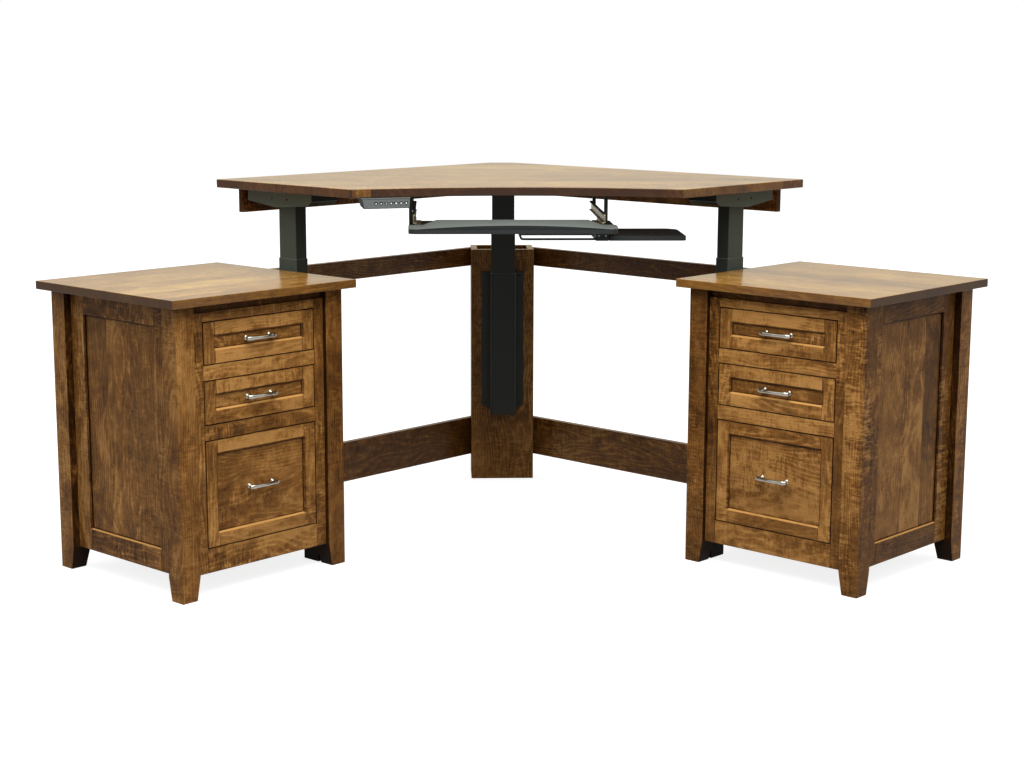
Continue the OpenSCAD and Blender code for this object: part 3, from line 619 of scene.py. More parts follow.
def hang(mesh: BMesh, name: str, body: str, slot: str, finish: str | None = None) -> bpy.types.Object:
    """Makes a finished piece from a mesh and lets it ride on its body.

    Args:
        mesh: The piece's mesh, in the desk's axes.
        name: The piece's name.
        body: The CAD body that it moves with.
        slot: The record's material slot of its finish.
        finish: The finish, where it isn't the slot's own.

    Returns:
        The piece.
    """
    data = as_data(mesh, name)
    data.shade_smooth()
    data.set_sharp_from_angle(angle=CREASE)
    data.materials.append(finish_material(finish or slot))
    piece = show(name, data)
    even = piece.modifiers.new("even_shading", "WEIGHTED_NORMAL")
    even.keep_sharp = True
    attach(piece, body)
    LOG.info("%s rides on %s in %s", name, body, slot)
    return piece


def whole_faces(node: str) -> BMesh:
    """Copies a CAD node, with its triangles welded and those in one plane joined.

    Args:
        node: The node's name.

    Returns:
        The copy.
    """
    mesh = bmesh.new()
    mesh.from_mesh(frame["nodes"][node].data)
    join_flat(mesh)
    return mesh


def join_flat(mesh: BMesh) -> None:
    """Welds a mesh and joins its faces that lie in one plane."""
    bmesh.ops.remove_doubles(mesh, verts=mesh.verts, dist=WELD)
    bmesh.ops.dissolve_limit(
        mesh, angle_limit=FLAT, use_dissolve_boundaries=False, verts=mesh.verts, edges=mesh.edges)


def ease_edges(mesh: BMesh, width: float) -> None:
    """Rounds the sharp outer and inner edges a little."""
    sharp = [e for e in mesh.edges if len(e.link_faces) == 2 and e.calc_face_angle(0) > SHARP]
    bmesh.ops.bevel(
        mesh, geom=sharp, offset=width, offset_type="OFFSET", segments=2, profile=0.5, affect="EDGES",
        clamp_overlap=True, material=-1)


def write(faces: Iterable[BMFace], layer: bmesh.types.BMLayerItem, value: float) -> None:
    """Writes a value on all the corners of some faces."""
    for face in faces:
        for loop in face.loops:
            loop[layer] = value


def solids(mesh: BMesh) -> list[list[BMVert]]:
    """Splits a mesh into the separate solids that it is made of.

    Args:
        mesh: The mesh.

    Returns:
        The vertices of each solid, in the mesh's order.
    """
    mesh.verts.index_update()
    left = set(mesh.verts)
    found = []
    while left:
        reached = {left.pop()}
        edge = list(reached)
        while edge:
            vert = edge.pop()
            fresh = {e.other_vert(vert) for e in vert.link_edges} - reached
            reached |= fresh
            edge.extend(fresh)
        left -= reached
        found.append(sorted(reached, key=lambda v: v.index))
    return sorted(found, key=lambda verts: verts[0].index)


def join(mesh: BMesh, part: BMesh, place: Matrix) -> BMesh:
    """Adds a part to a mesh and uses it up.

    Args:
        mesh: The mesh that grows.
        part: The part, in its own axes.
        place: Where the part goes.

    Returns:
        The mesh that grew.
    """
    data = as_data(part, "part")
    data.transform(place)
    if place.determinant() < 0:
        data.flip_normals()
    mesh.from_mesh(data)
    bpy.data.meshes.remove(data)
    return mesh


def carve(mesh: BMesh, cutter: BMesh) -> BMesh:
    """Cuts one closed mesh out of another, and uses up both.

    Args:
        mesh: The mesh that is cut.
        cutter: What is taken away.

    Returns:
        What is left.
    """
    body, tool = (show(name, as_data(part, name)) for name, part in (("body", mesh), ("tool", cutter)))
    cut = body.modifiers.new("cut", "BOOLEAN")
    cut.operation, cut.solver, cut.object = "DIFFERENCE", "EXACT", tool
    left = bmesh.new()
    left.from_object(body, bpy.context.evaluated_depsgraph_get())
    for used in (body, tool):
        bpy.data.meshes.remove(used.data)
    join_flat(left)
    return left


def block(size: Vector, middle: Vector = Vector()) -> BMesh:
    """Makes a block of the given size round a point.

    Args:
        size: Its spans along X, Y and Z.
        middle: The point.

    Returns:
        The block.
    """
    mesh = bmesh.new()
    bmesh.ops.create_cube(mesh, size=1.0)
    bmesh.ops.scale(mesh, vec=size, verts=mesh.verts)
    bmesh.ops.translate(mesh, vec=middle, verts=mesh.verts)
    return mesh


def turned(profile: list[tuple[float, float]], steps: int) -> BMesh:
    """Turns a profile round Z, as on a lathe.

    Args:
        profile: Radius and height of its points.
        steps: How many sides the round has.

    Returns:
        The turned mesh.
    """
    mesh = bmesh.new()
    verts = [mesh.verts.new((radius, 0, height)) for radius, height in profile]
    edges = [mesh.edges.new(pair) for pair in zip(verts, verts[1:])]
    bmesh.ops.spin(
        mesh, geom=verts + edges, cent=(0, 0, 0), axis=UP, angle=2 * math.pi, steps=steps, use_merge=True)
    bmesh.ops.remove_doubles(mesh, verts=mesh.verts, dist=WELD / 4)
    bmesh.ops.recalc_face_normals(mesh, faces=mesh.faces)
    return mesh


def looking(out: Vector, at: Vector, top: Vector = UP) -> Matrix:
    """Places a part so that its Z looks out from a surface and its Y points up it.

    Args:
        out: The way that the part looks.
        at: Where it stands.
        top: The way that is up.

    Returns:
        The part's place.
    """
    out = out.normalized()
    side = top.cross(out).normalized()
    turn = Matrix((side, out.cross(side), out)).transposed().to_4x4()
    return Matrix.Translation(at) @ turn


@dataclass
class StandIn:
    """A finished piece that takes the place of a CAD node."""

    node: str
    placing: Placing = Placing.RIGHT
    suffix: ClassVar[str] = "_finished"

    def build(self) -> None:
        """Makes the piece and hides the CAD node."""
        piece = hang(self.made(), self.node + self.suffix, BODIES[self.node], SLOTS[self.node])
        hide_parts(self.node)

    def made(self) -> BMesh:
        """Makes the piece's mesh."""
        raise NotImplementedError


@dataclass
class Eased(StandIn):
    """A CAD node's own shape with its edges broken."""

    ease: float = 0.5 * MM

    def made(self) -> BMesh:
        """Cuts, eases and marks a copy of the CAD node.

        Returns:
            The piece's mesh.
        """
        mesh = whole_faces(self.node)
        for tool in self.tools():
            mesh = carve(mesh, tool)
        ease_edges(mesh, self.ease)
        mesh.normal_update()
        self.mark(mesh)
        return mesh

    def tools(self) -> list[BMesh]:
        """The blocks that are cut out of the copy, in the desk's axes."""
        return []

    def mark(self, mesh: BMesh) -> None:
        """Writes on the mesh what its finish reads there."""


@dataclass
class BoardFace:
    """A face of a board: its normal, its board's directions, the way in to the piece's middle, and its depth."""

    normal: Vector
    axes: list[Vector]
    inwards: Vector
    depth: float


@dataclass
class Timber(Eased):
    """A wooden CAD node as separate boards, each with its own grain."""

    ease: float = 1.2 * MM
    lay: Lay = Lay.LENGTH
    panel_thickness: float = 8 * MM
    tongue: float = 7 * MM
    panel_tone: float = -0.1
    block_length: float = 80 * MM
    # Short blocks behind the feet are painted nearly black, as shade.
    block_painted_shade: float = -0.9
    suffix: ClassVar[str] = "_timber"

    def is_panel(self, thickness: float) -> bool:
        """Says whether a board is a flat panel that sits in a frame's grooves."""
        return abs(thickness - self.panel_thickness) < MM / 2

    def board_tone(self, spans: list[float]) -> float:
        """How much lighter a board of some spans is: panels are darker, and short blocks nearly black with
        painted shade.
        """
        if max(spans) < self.block_length:
            return self.block_painted_shade
        return self.panel_tone if self.is_panel(min(spans)) else 0.0

    def face_tone(self, face: BoardFace) -> float:
        """How much lighter a face is than its board."""
        return 0.0

    @staticmethod
    def depth(face: BMFace, thickness: Vector, low: Vector, high: Vector) -> float:
        """Finds how far a face lies inside the piece's outline, seen along its board's thickness.

        Args:
            face: The face.
            thickness: Its board's thickness direction.
            low: The lowest corner of the piece.
            high: The highest corner of the piece.

        Returns:
            The distance, or 1 for a face that looks along the thickness.
        """
        level = face.normal - thickness * face.normal.dot(thickness)
        if level.length < EDGE_ON:
            return FAR_IN
        level.normalize()
        reach = sum(abs(level[i]) * (high[i] - low[i]) / 2 for i in range(3))
        return reach - (face.calc_center_median() - (low + high) / 2).dot(level)

    def rim_reach(self, spans: list[float]) -> Vector:
        """Half the size of what shows of a panel, or far more than that of a board, which has no rim of painted
        shade.
        """
        if not self.is_panel(min(spans)):
            return NO_RIM
        return Vector((spans[0] / 2 - self.tongue, spans[1] / 2 - self.tongue, spans[2] / 2))

    def mark(self, mesh: BMesh) -> None:
        """Writes each board's grain, chances and half size, and the tone, with painted light and shade, and end
        grain of each face.

        Args:
            mesh: The piece's mesh.
        """
        grain, lot, half = (mesh.verts.layers.float_vector.new(name) for name in ("grain", "lot", "half"))
        endgrain, tone = (mesh.loops.layers.float.new(name) for name in ("endgrain", "tone"))
        chance = random.Random(self.node)
        low, high = corners(v.co for v in mesh.verts)
        for board in solids(mesh):
            axes, spans, middle = self.directions(board)
            shade, shown = self.board_tone(spans), self.rim_reach(spans)
            seed = Vector((chance.random(), chance.random(), chance.random()))
            for vert in board:
                place = vert.co - middle
                vert[grain] = Vector([place.dot(axis) for axis in axes])
                vert[lot], vert[half] = seed, shown
            for face in {face for vert in board for face in vert.link_faces}:
                depth = self.depth(face, axes[2], low, high)
                side = BoardFace(face.normal, axes, (low + high) / 2 - middle, depth)
                # The face's tone includes its painted light and shade.
                write([face], tone, shade + self.face_tone(side))
                write([face], endgrain, abs(face.normal.dot(axes[0])) ** 4)

    def directions(self, board: list[BMVert]) -> tuple[list[Vector], list[float], Vector]:
        """Finds how a board lies.

        Args:
            board: Its vertices.

        Returns:
            Its length, width and thickness directions, its spans along them, and its middle.
        """
        axes = self.placing.axes
        spans = []
        middle = Vector()
        for axis in axes:
            reach = [v.co.dot(axis) for v in board]
            spans.append(max(reach) - min(reach))
            middle += axis * (max(reach) + min(reach)) / 2
        order = [0, 1, 2] if self.lay is Lay.ACROSS_THE_DESK else sorted(range(3), key=lambda i: -spans[i])
        return [axes[i] for i in order], [spans[i] for i in order], middle


@dataclass
class Legs(Timber):
    """Four legs whose faces towards the middle of the pedestal are painted nearly black, as shade under the
    pedestal.
    """

    # Painted shade: the inner faces nearly black, the feet's tapers black.
    inner_painted_shade: float = -0.5
    foot_painted_shade: float = -0.95

    def face_tone(self, face: BoardFace) -> float:
        """Paints shade on the faces that look to the middle of the pedestal, darkest on the feet's tapers.

        Args:
            face: The face.

        Returns:
            What is added to the board's tone.
        """
        towards = [face.normal[i] * face.inwards[i] for i in (0, 1) if abs(face.normal[i]) > FACING]
        if not towards or max(towards) <= 0:
            return 0.0
        return self.foot_painted_shade if face.normal.z < -EDGE_ON else self.inner_painted_shade


@dataclass
class BoardTop(Timber):
    """A top with darker edges, darkest where the front edge curves."""

    straight_tone: float = -0.25
    curved_tone: float = -0.58
    right_tone: float = 0.0

    def face_tone(self, face: BoardFace) -> float:
        """Darkens the edges, less so those of the right wing's front.

        Args:
            face: The face.

        Returns:
            What is added to the board's tone.
        """
        x, y, z = face.normal
        if abs(z) > FACING:
            return 0.0
        if x > SQUARE_ON:
            return self.straight_tone + self.right_tone
        return self.straight_tone if max(abs(x), abs(y)) > SQUARE_ON else self.curved_tone


@dataclass
class FrameTimber(Timber):
    """A frame of boards with painted shade in its joints, gaps and downward splays, and a painted highlight on
    its upward splays.
    """

    # Painted shade in the joints and gaps, a painted highlight on upward splays and painted shade on downward
    # ones.
    gap_painted_shade: float = -0.9
    rim: float = 2 * MM
    flat: float = 0.95
    eased: float = 0.86
    ledge_painted_highlight: float = 0.5
    shadow_tone: float = -0.35
    # Painted highlight on horizontal rails.
    rail_painted_highlight: float = 0.0

    def face_tone(self, face: BoardFace) -> float:
        """Paints shade on the boards' edges and downward splays, and a highlight on upward splays and rails.

        Args:
            face: The face.

        Returns:
            What is added to the board's tone.
        """
        # Horizontal rails take a painted highlight.
        level = self.rail_painted_highlight if abs(face.axes[0].z) < FACING else 0.0
        front = abs(face.normal.dot(face.axes[2]))
        if front > self.flat or (front > self.eased and face.depth > self.rim):
            return level
        # Edge faces take painted shade; upward splays a painted highlight, downward ones painted shade.
        if front < FACING or front > self.eased:
            return level + self.gap_painted_shade
        return level + (self.ledge_painted_highlight if face.normal.z > FACING else self.shadow_tone)


@dataclass
class FramedTimber(FrameTimber):
    """A frame whose opening has a mitred chamfer in front of its flat panel."""

    panel_node: str = ""
    recess: float = 7 * MM
    chamfer: float = 4.5 * MM

    def tools(self) -> list[BMesh]:
        """Makes the splayed blocks that cut a chamfer round each framed panel.

        Returns:
            The blocks.
        """
        panels = whole_faces(self.panel_node or self.node)
        boxes = [self.placing.box(v.co for v in board) for board in solids(panels)]
        panels.free()
        middle = sum(low[0] + high[0] for low, high in boxes) / 2 / len(boxes)
        found = []
        for low, high in boxes:
            spans, centre = high - low, (low + high) / 2
            if not self.is_panel(min(spans)):
                continue
            out, width = FRONT, spans[0]
            if spans[0] < spans[1]:
                out, width = ALONG * math.copysign(1, centre[0] - middle), spans[1]
            place = looking(out, centre + out * (min(spans) / 2 + self.recess))
            found.append(self.splayed(width - 2 * self.tongue, spans[2] - 2 * self.tongue, place))
        return found

    def splayed(self, width: float, height: float, place: Matrix) -> BMesh:
        """Makes a block that widens outwards at 45 degrees, from the chamfer's foot to well clear of the face.

        Args:
            width: Its width at the foot.
            height: Its height at the foot.
            place: Where it stands in the group's axes.

        Returns:
            The block in the desk's axes.
        """
        grown = 2 * self.chamfer
        mesh = block(Vector((width, height, grown)))
        outer = [v for v in mesh.verts if v.co.z > 0]
        bmesh.ops.scale(
            mesh, vec=((width + 2 * grown) / width, (height + 2 * grown) / height, 1), verts=outer)
        return join(bmesh.new(), mesh, self.placing.matrix @ place)


@dataclass
class FaceFrame(FrameTimber):
    """A pedestal's front frame, whose top rail steps back under the pedestal's top."""

    ease: float = 0.9 * MM
    # The face frame's rails take a painted highlight.
    rail_painted_highlight: float = 0.2
    step_height: float = 22 * MM
    step_depth: float = 7 * MM
    step_tone: float = -0.3
    overrun: float = 5 * MM

    def tools(self) -> list[BMesh]:
        """Makes the block that cuts the step along the top of the frame.

        Returns:
            The block, as the only one.
        """
        low, high = self.placing.node_box(self.node)
        size = Vector((high[0] - low[0] + 2 * self.overrun, 2 * self.step_depth, 2 * self.step_height))
        step = block(size, Vector(((low[0] + high[0]) / 2, low[1], high[2])))
        return [join(bmesh.new(), step, self.placing.matrix)]

    def mark(self, mesh: BMesh) -> None:
        """Lays the grain, and darkens the step, which lies in the shade of the pedestal's top.

        Args:
            mesh: The piece's mesh.
        """
        super().mark(mesh)
        tone = mesh.loops.layers.float["tone"]
        foot = max(v.co.z for v in mesh.verts) - self.step_height
        for face in mesh.faces:
            if face.calc_center_median().z > foot:
                write([face], tone, face.loops[0][tone] + self.step_tone)


@dataclass
class TwoTone(Eased):
    """A moulded part with a second colour on all faces but its front ones, or on those; the palm rest's is
    painted shade.
    """

    share: float = 0.5
    on_front: bool = False

    def mark(self, mesh: BMesh) -> None:
        """Marks the faces that take the second colour.

        Args:
            mesh: The piece's mesh.
        """
        layer = mesh.loops.layers.float.new("tint")
        front = self.looks(mesh)
        for face in mesh.faces:
            towards = face.normal.dot(front) > self.share
            write([face], layer, float(towards if self.on_front else not towards))

    def looks(self, mesh: BMesh) -> Vector:
        """Finds the way that the largest face looks of those that look more or less to the front.

        Args:
            mesh: The piece's mesh.

        Returns:
            That face's normal.
        """
        front = Placing.DIAGONAL.matrix.to_3x3() @ FRONT
        faces = (f for f in mesh.faces if f.normal.dot(front) > FACING)
        return max(faces, key=lambda f: f.calc_area()).normal.copy()


@dataclass
class ControlHousing(TwoTone):
    """The hand control's housing, with a dark rim round its face and round each key."""

    share: float = 0.97
    level: float = 0.999
    rim: float = 1.2 * MM
    face_area: float = 1e-4

    def mark(self, mesh: BMesh) -> None:
        """Marks the sides, and cuts the rims into the face and marks them too.

        Args:
            mesh: The piece's mesh.
        """
        super().mark(mesh)
        front = self.looks(mesh)
        faces = [f for f in mesh.faces if f.normal.dot(front) > self.level and f.calc_area() > self.face_area]
        rims = bmesh.ops.inset_region(mesh, faces=faces, thickness=self.rim, use_even_offset=True)["faces"]
        write(rims, mesh.loops.layers.float["tint"], 1.0)


@dataclass
class ColumnSteel(Eased):
    """Black steel of the columns, with a painted highlight on the faces that look away from the desk's middle.
    """

    # How far out a column stands, and how much painted highlight its outward faces take.
    reach: float = 0.3
    share: float = 0.5

    def mark(self, mesh: BMesh) -> None:
        """Marks the outward faces of the left and the right column for the painted highlight.

        Args:
            mesh: The piece's mesh.
        """
        layer = mesh.loops.layers.float.new("tint")
        for face in mesh.faces:
            place = face.calc_center_median()
            side = place.x + place.y
            out = -face.normal.y if side < 0 else face.normal.x
            # Outward faces of the side columns take the painted highlight.
            write([face], layer, self.share if abs(side) > self.reach and out > FACING else 0.0)


@dataclass
class BarPull(StandIn):
    """A bowed bar pull on two turned feet."""

    span: float = 76 * MM
    width: float = 98 * MM
    bow: float = 6 * MM
    radius: float = 5.6 * MM
    waist: float = 0.9
    swell: float = 0.26
    swell_at: float = 0.84
    swell_width: float = 0.2
    end_swell: float = 1.12
    foot_bow: float = 0.7
    steps: int = 28
    sides: int = 16
    end_rings: int = 10
    foot_profile: tuple[tuple[float, float], ...] = (
        (0, 0), (7.0, 0), (7.0, 1.4), (6.2, 2.4), (4.6, 3.0), (5.0, 4.0), (4.4, 5.0), (3.4, 6.2), (3.2, 10.0),
        (3.6, 13.0), (4.6, 15.0))
    foot_ball: float = 4.9 * MM
    suffix: ClassVar[str] = "_polished"

    def made(self) -> BMesh:
        """Joins the bar, its two feet and its two round ends.

        Returns:
            The pull's mesh.
        """
        low, high = self.placing.node_box(self.node)
        reach = high[1] - low[1] - self.radius
        mesh = self.bar(reach)
        for side in (-1, 1):
            foot = turned(self.foot(reach - self.bow * self.foot_bow), self.sides)
            join(mesh, foot, looking(FRONT, ALONG * side * self.span / 2))
            end = bmesh.new()
            bmesh.ops.create_uvsphere(
                end, u_segments=self.sides, v_segments=self.end_rings, radius=self.radius * self.end_swell)
            join(mesh, end, Matrix.Translation((side * (self.width / 2 - self.radius), self.bow - reach, 0)))
        middle = Vector(((low[0] + high[0]) / 2, high[1], (low[2] + high[2]) / 2))
        return join(bmesh.new(), mesh, self.placing.matrix @ Matrix.Translation(middle))

    def bar(self, reach: float) -> BMesh:
        """Bends the bar and swells it where it meets its feet.

        Args:
            reach: How far the bar's middle stands off the drawer.

        Returns:
            The bar.
        """
        half = self.width / 2 - self.radius
        bend = (half * half + self.bow * self.bow) / (2 * self.bow)
        sweep = math.asin(half / bend)
        centre = Vector((0, bend - reach, 0))
        mesh = bmesh.new()
        start = Vector((-math.sin(sweep), -math.cos(sweep), 0))
        along = Vector((math.cos(sweep), -math.sin(sweep), 0))
        ring = bmesh.ops.create_circle(
            mesh, cap_ends=False, radius=self.radius, segments=self.sides,
            matrix=looking(along, centre + start * bend))
        edges = list({e for v in ring["verts"] for e in v.link_edges})
        bmesh.ops.spin(mesh, geom=ring["verts"] + edges, cent=centre, axis=UP, angle=2 * sweep, steps=self.steps)
        bmesh.ops.recalc_face_normals(mesh, faces=mesh.faces)
        for vert in mesh.verts:
            offset = vert.co - centre
            turn = math.atan2(offset.x, -offset.y)
            core = centre + Vector((math.sin(turn), -math.cos(turn), 0)) * bend
            nearness = math.exp(-((abs(turn) / sweep - self.swell_at) / self.swell_width) ** 2)
            vert.co = core + (vert.co - core) * (self.waist + self.swell * nearness)
        return mesh

    def foot(self, reach: float) -> list[tuple[float, float]]:
        """A turned foot's profile: rosette, collar, neck and ball."""
        return [(r * MM, h * MM) for r, h in self.foot_profile] + [(self.foot_ball, reach), (0, reach)]


@dataclass
class Screws:
    """Pan-head screws at the named places of a group."""

    name: str
    body: str
    spots: list[tuple[Vector, Vector]]
    placing: Placing
    head: float
    slot: str = "black_steel"
    sides: int = 14
    profile: tuple[tuple[float, float], ...] = (
        (1.0, 0), (1.0, 0.22), (0.86, 0.46), (0.6, 0.6), (0.42, 0.64), (0.4, 0.3), (0, 0.3))
    askew: ClassVar[Vector] = Vector((0.3, 0.5, 0.8))

    def build(self) -> None:
        """Makes all the screw heads, each a dome with a socket, as one piece."""
        mesh = bmesh.new()
        rows = [(share * self.head / 2, rise * self.head / 2) for share, rise in self.profile]
        for at, out in self.spots:
            join(mesh, turned(rows, self.sides), self.placing.matrix @ looking(out, at, self.askew))
        hang(mesh, self.name, self.body, self.slot)


@dataclass
class Drawer:
    """One drawer of a pedestal, with its front, dovetailed box and pull."""

    side: Placing
    level: str
    # How much painted highlight the front's rails take.
    rail_painted_highlight: float
    panel_tone: float = -0.12
    # Painted shade on the front's edges, in the gap round the drawer.
    gap_painted_shade: float = -0.6
    front_ease: float = 1.6 * MM
    box_ease: float = 0.4 * MM

    def build(self) -> None:
        """Makes the drawer's pieces."""
        name = f"{self.side.value}_{self.level}"
        FramedTimber(
            f"{name}_front", self.side, ease=self.front_ease, rail_painted_highlight=self.rail_painted_highlight,
            panel_tone=self.panel_tone - self.rail_painted_highlight, gap_painted_shade=self.gap_painted_shade).build()
        Timber(f"{name}_box", self.side, ease=self.box_ease).build()
        BarPull(f"{name}_pull", self.side).build()


@dataclass
class Pedestal:
    """A drawer pedestal: top, legs, face frame, side frames, panels and three drawers."""

    side: Placing
    # Painted highlights on each drawer's front rails.
    top_drawer_tone: float
    middle_drawer_highlight: float = 0.05
    file_drawer_highlight: float = 0.0
    top_ease: float = 1.5 * MM
    top_edge_tone: float = -0.15
    side_chamfer: float = 3.5 * MM
    # Painted highlight on the side frames' upward splays.
    side_ledge_painted_highlight: float = 1.2

    def build(self) -> None:
        """Makes the pedestal's pieces."""
        name = self.side.value
        BoardTop(
            f"{name}_pedestal_top", self.side, ease=self.top_ease, straight_tone=self.top_edge_tone).build()
        Legs(f"{name}_legs", self.side).build()
        FaceFrame(f"{name}_face_frame", self.side).build()
        FramedTimber(
            f"{name}_side_frames", self.side, panel_node=f"{name}_panels", chamfer=self.side_chamfer,
            ledge_painted_highlight=self.side_ledge_painted_highlight).build()
        Timber(f"{name}_panels", self.side).build()
        Eased(f"{name}_drawer_slides").build()
        Drawer(self.side, "top", self.top_drawer_tone).build()
        Drawer(self.side, "middle", self.middle_drawer_highlight).build()
        Drawer(self.side, "file", self.file_drawer_highlight).build()


@dataclass
class CornerFrame:
    """The corner post, the back rails and the boards that hold the side columns."""

    boards: tuple[tuple[str, Placing], ...] = (
        ("corner_post", Placing.DIAGONAL), ("left_rails", Placing.LEFT), ("right_rails", Placing.RIGHT),
        ("column_boards", Placing.RIGHT))

    def build(self) -> None:
        """Makes the fixed woodwork between the pedestals."""
        for node, placing in self.boards:
            Timber(node, placing).build()


@dataclass
class Desktop:
    """The desktop with its aprons."""

    ease: float = 2.0 * MM
    edge_tone: float = -0.38
    right_tone: float = 0.2

    def build(self) -> None:
        """Makes the desktop's woodwork."""
        BoardTop(
            "desktop", Placing.DIAGONAL, self.ease, Lay.ACROSS_THE_DESK, straight_tone=self.edge_tone,
            right_tone=self.right_tone).build()
        Timber("aprons").build()


@dataclass
class LiftingColumns:
    """The three telescoping columns with their plates, heads and motors."""

    names: tuple[str, ...] = ("left", "centre", "right")
    # How much painted highlight each tube's outward faces take.
    tubes: tuple[tuple[str, float], ...] = (("outer_tube", 0.36), ("middle_tube", 0.5), ("inner_tube", 0.5))
    lipped_tubes: tuple[str, ...] = ("outer_tube", "middle_tube")
    fittings: tuple[str, ...] = ("column_plates", "lifting_heads", "lift_motors")
    lip: float = 0.8 * MM

    def build(self) -> None:
        """Makes the columns' pieces."""
        for name in self.names:
            for tube, share in self.tubes:
                ColumnSteel(f"{name}_{tube}", share=share).build()
            for tube in self.lipped_tubes:
                self.lay_lip(f"{name}_{tube}")
        for part in self.fittings:
            # Plates, heads and motors take the full painted highlight outwards.
            ColumnSteel(part, share=1.0).build()

    def lay_lip(self, node: str) -> None:
        """Lays a thin bright lip on a tube's rim.

        Args:
            node: The tube.
        """
        mesh = whole_faces(node)
        top = max(v.co.z for v in mesh.verts)
        rest = [f for f in mesh.faces if f.normal.z < SQUARE_ON or f.calc_center_median().z < top - MM]
        bmesh.ops.delete(mesh, geom=rest, context="FACES")
        grown = bmesh.ops.extrude_face_region(mesh, geom=list(mesh.faces))["geom"]
        bmesh.ops.translate(mesh, vec=UP * self.lip, verts=[g for g in grown if isinstance(g, BMVert)])
        bmesh.ops.recalc_face_normals(mesh, faces=mesh.faces)
        hang(mesh, node + "_lip", BODIES[node], "black_steel", "control_plastic")


@dataclass
class HandControl:
    """The hand control under the desktop's edge, with a printed mark on each key.

    Each cut mark has a number of corners, a radius in millimetres and a turn in degrees. The others are
    bars: one upright, or two that cross.
    """

    node: str = "hand_control"
    key: float = 7 * MM
    proud: float = 0.3 * MM
    bar: float = 1.3 * MM
    cross: float = 5.2 * MM
    upright: int = 2
    round_corners: int = 20
    cut_marks: ClassVar[dict[int, tuple[int, float, float]]] = {
        0: (3, 2.7, 0), 1: (3, 2.7, 180), 3: (4, 2.4, -45), 4: (20, 2.3, -90), 6: (20, 2.0, -90)}

    def build(self) -> None:
        """Makes the housing and the marks."""
        ControlHousing(self.node).build()
        mesh = bmesh.new()
        for number, place in enumerate(self.keys()):
            join(mesh, self.mark(number), place)
        hang(mesh, self.node + "_marks", BODIES[self.node], SLOTS[self.node], "white_print")

    def keys(self) -> list[Matrix]:
        """Finds the places on the keys' faces of the CAD node, from left to right.

        Returns:
            The places.
        """
        mesh = whole_faces(self.node)
        area = math.pi * self.key * self.key / 4
        faces = [f for f in mesh.faces
                 if len(f.verts) > self.round_corners and abs(f.calc_area() - area) < area / 4]
        across = Placing.DIAGONAL.axes[0]
        faces.sort(key=lambda f: f.calc_center_median().dot(across))
        places = [looking(f.normal, f.calc_center_median() + f.normal * self.proud / 2) for f in faces]
        mesh.free()
        return places

    def mark(self, number: int) -> BMesh:
        """Makes one raised mark: up, down, bar, square, disc, cross or dot.

        Args:
            number: Which key it is on, from the left.

        Returns:
            The mark, flat on its own XY plane.
        """
        mesh = bmesh.new()
        if number in self.cut_marks:
            sides, radius, turn = self.cut_marks[number]
            bmesh.ops.create_cone(
                mesh, cap_ends=True, segments=sides, radius1=radius * MM, radius2=radius * MM, depth=self.proud,
                matrix=Matrix.Rotation(math.radians(turn), 4, "Z"))
            return mesh
        for turn in ((0,) if number == self.upright else (45, -45)):
            bar = block(Vector((self.bar, self.cross, self.proud)))
            join(mesh, bar, Matrix.Rotation(math.radians(turn), 4, "Z"))
        return mesh


@dataclass
class TrayAndControls:
    """The pull-out tray with its slides and side platform, the hand control and the control box."""

    palm_ease: float = 1.2 * MM
    palm_share: float = 0.75
    parts: tuple[str, ...] = (
        "control_box", "tray_hangers", "tray_slides", "keyboard_tray", "rod_housing", "guide_rods",
        "mouse_platform")
    screw_inset: float = 8 * MM
    screw_head: float = 5 * MM

    def build(self) -> None:
        """Makes the pieces under the desktop."""
        HandControl().build()
        # The palm rest's front is painted dark, as shade from the light above.
        TwoTone("palm_rest", ease=self.palm_ease, share=self.palm_share, on_front=True).build()
        for part in self.parts:
            Eased(part).build()
        self.fix_housing()

    def fix_housing(self) -> None:
        """Puts two bright screws in the front of the rods' housing."""
        low, high = Placing.DIAGONAL.node_box("rod_housing")
        spots = [(Vector((x, low[1], (low[2] + high[2]) / 2)), FRONT)
                 for x in (low[0] + self.screw_inset, high[0] - self.screw_inset)]
        Screws("housing_screws", BODIES["rod_housing"], spots, Placing.DIAGONAL, self.screw_head,
               "slide_steel").build()


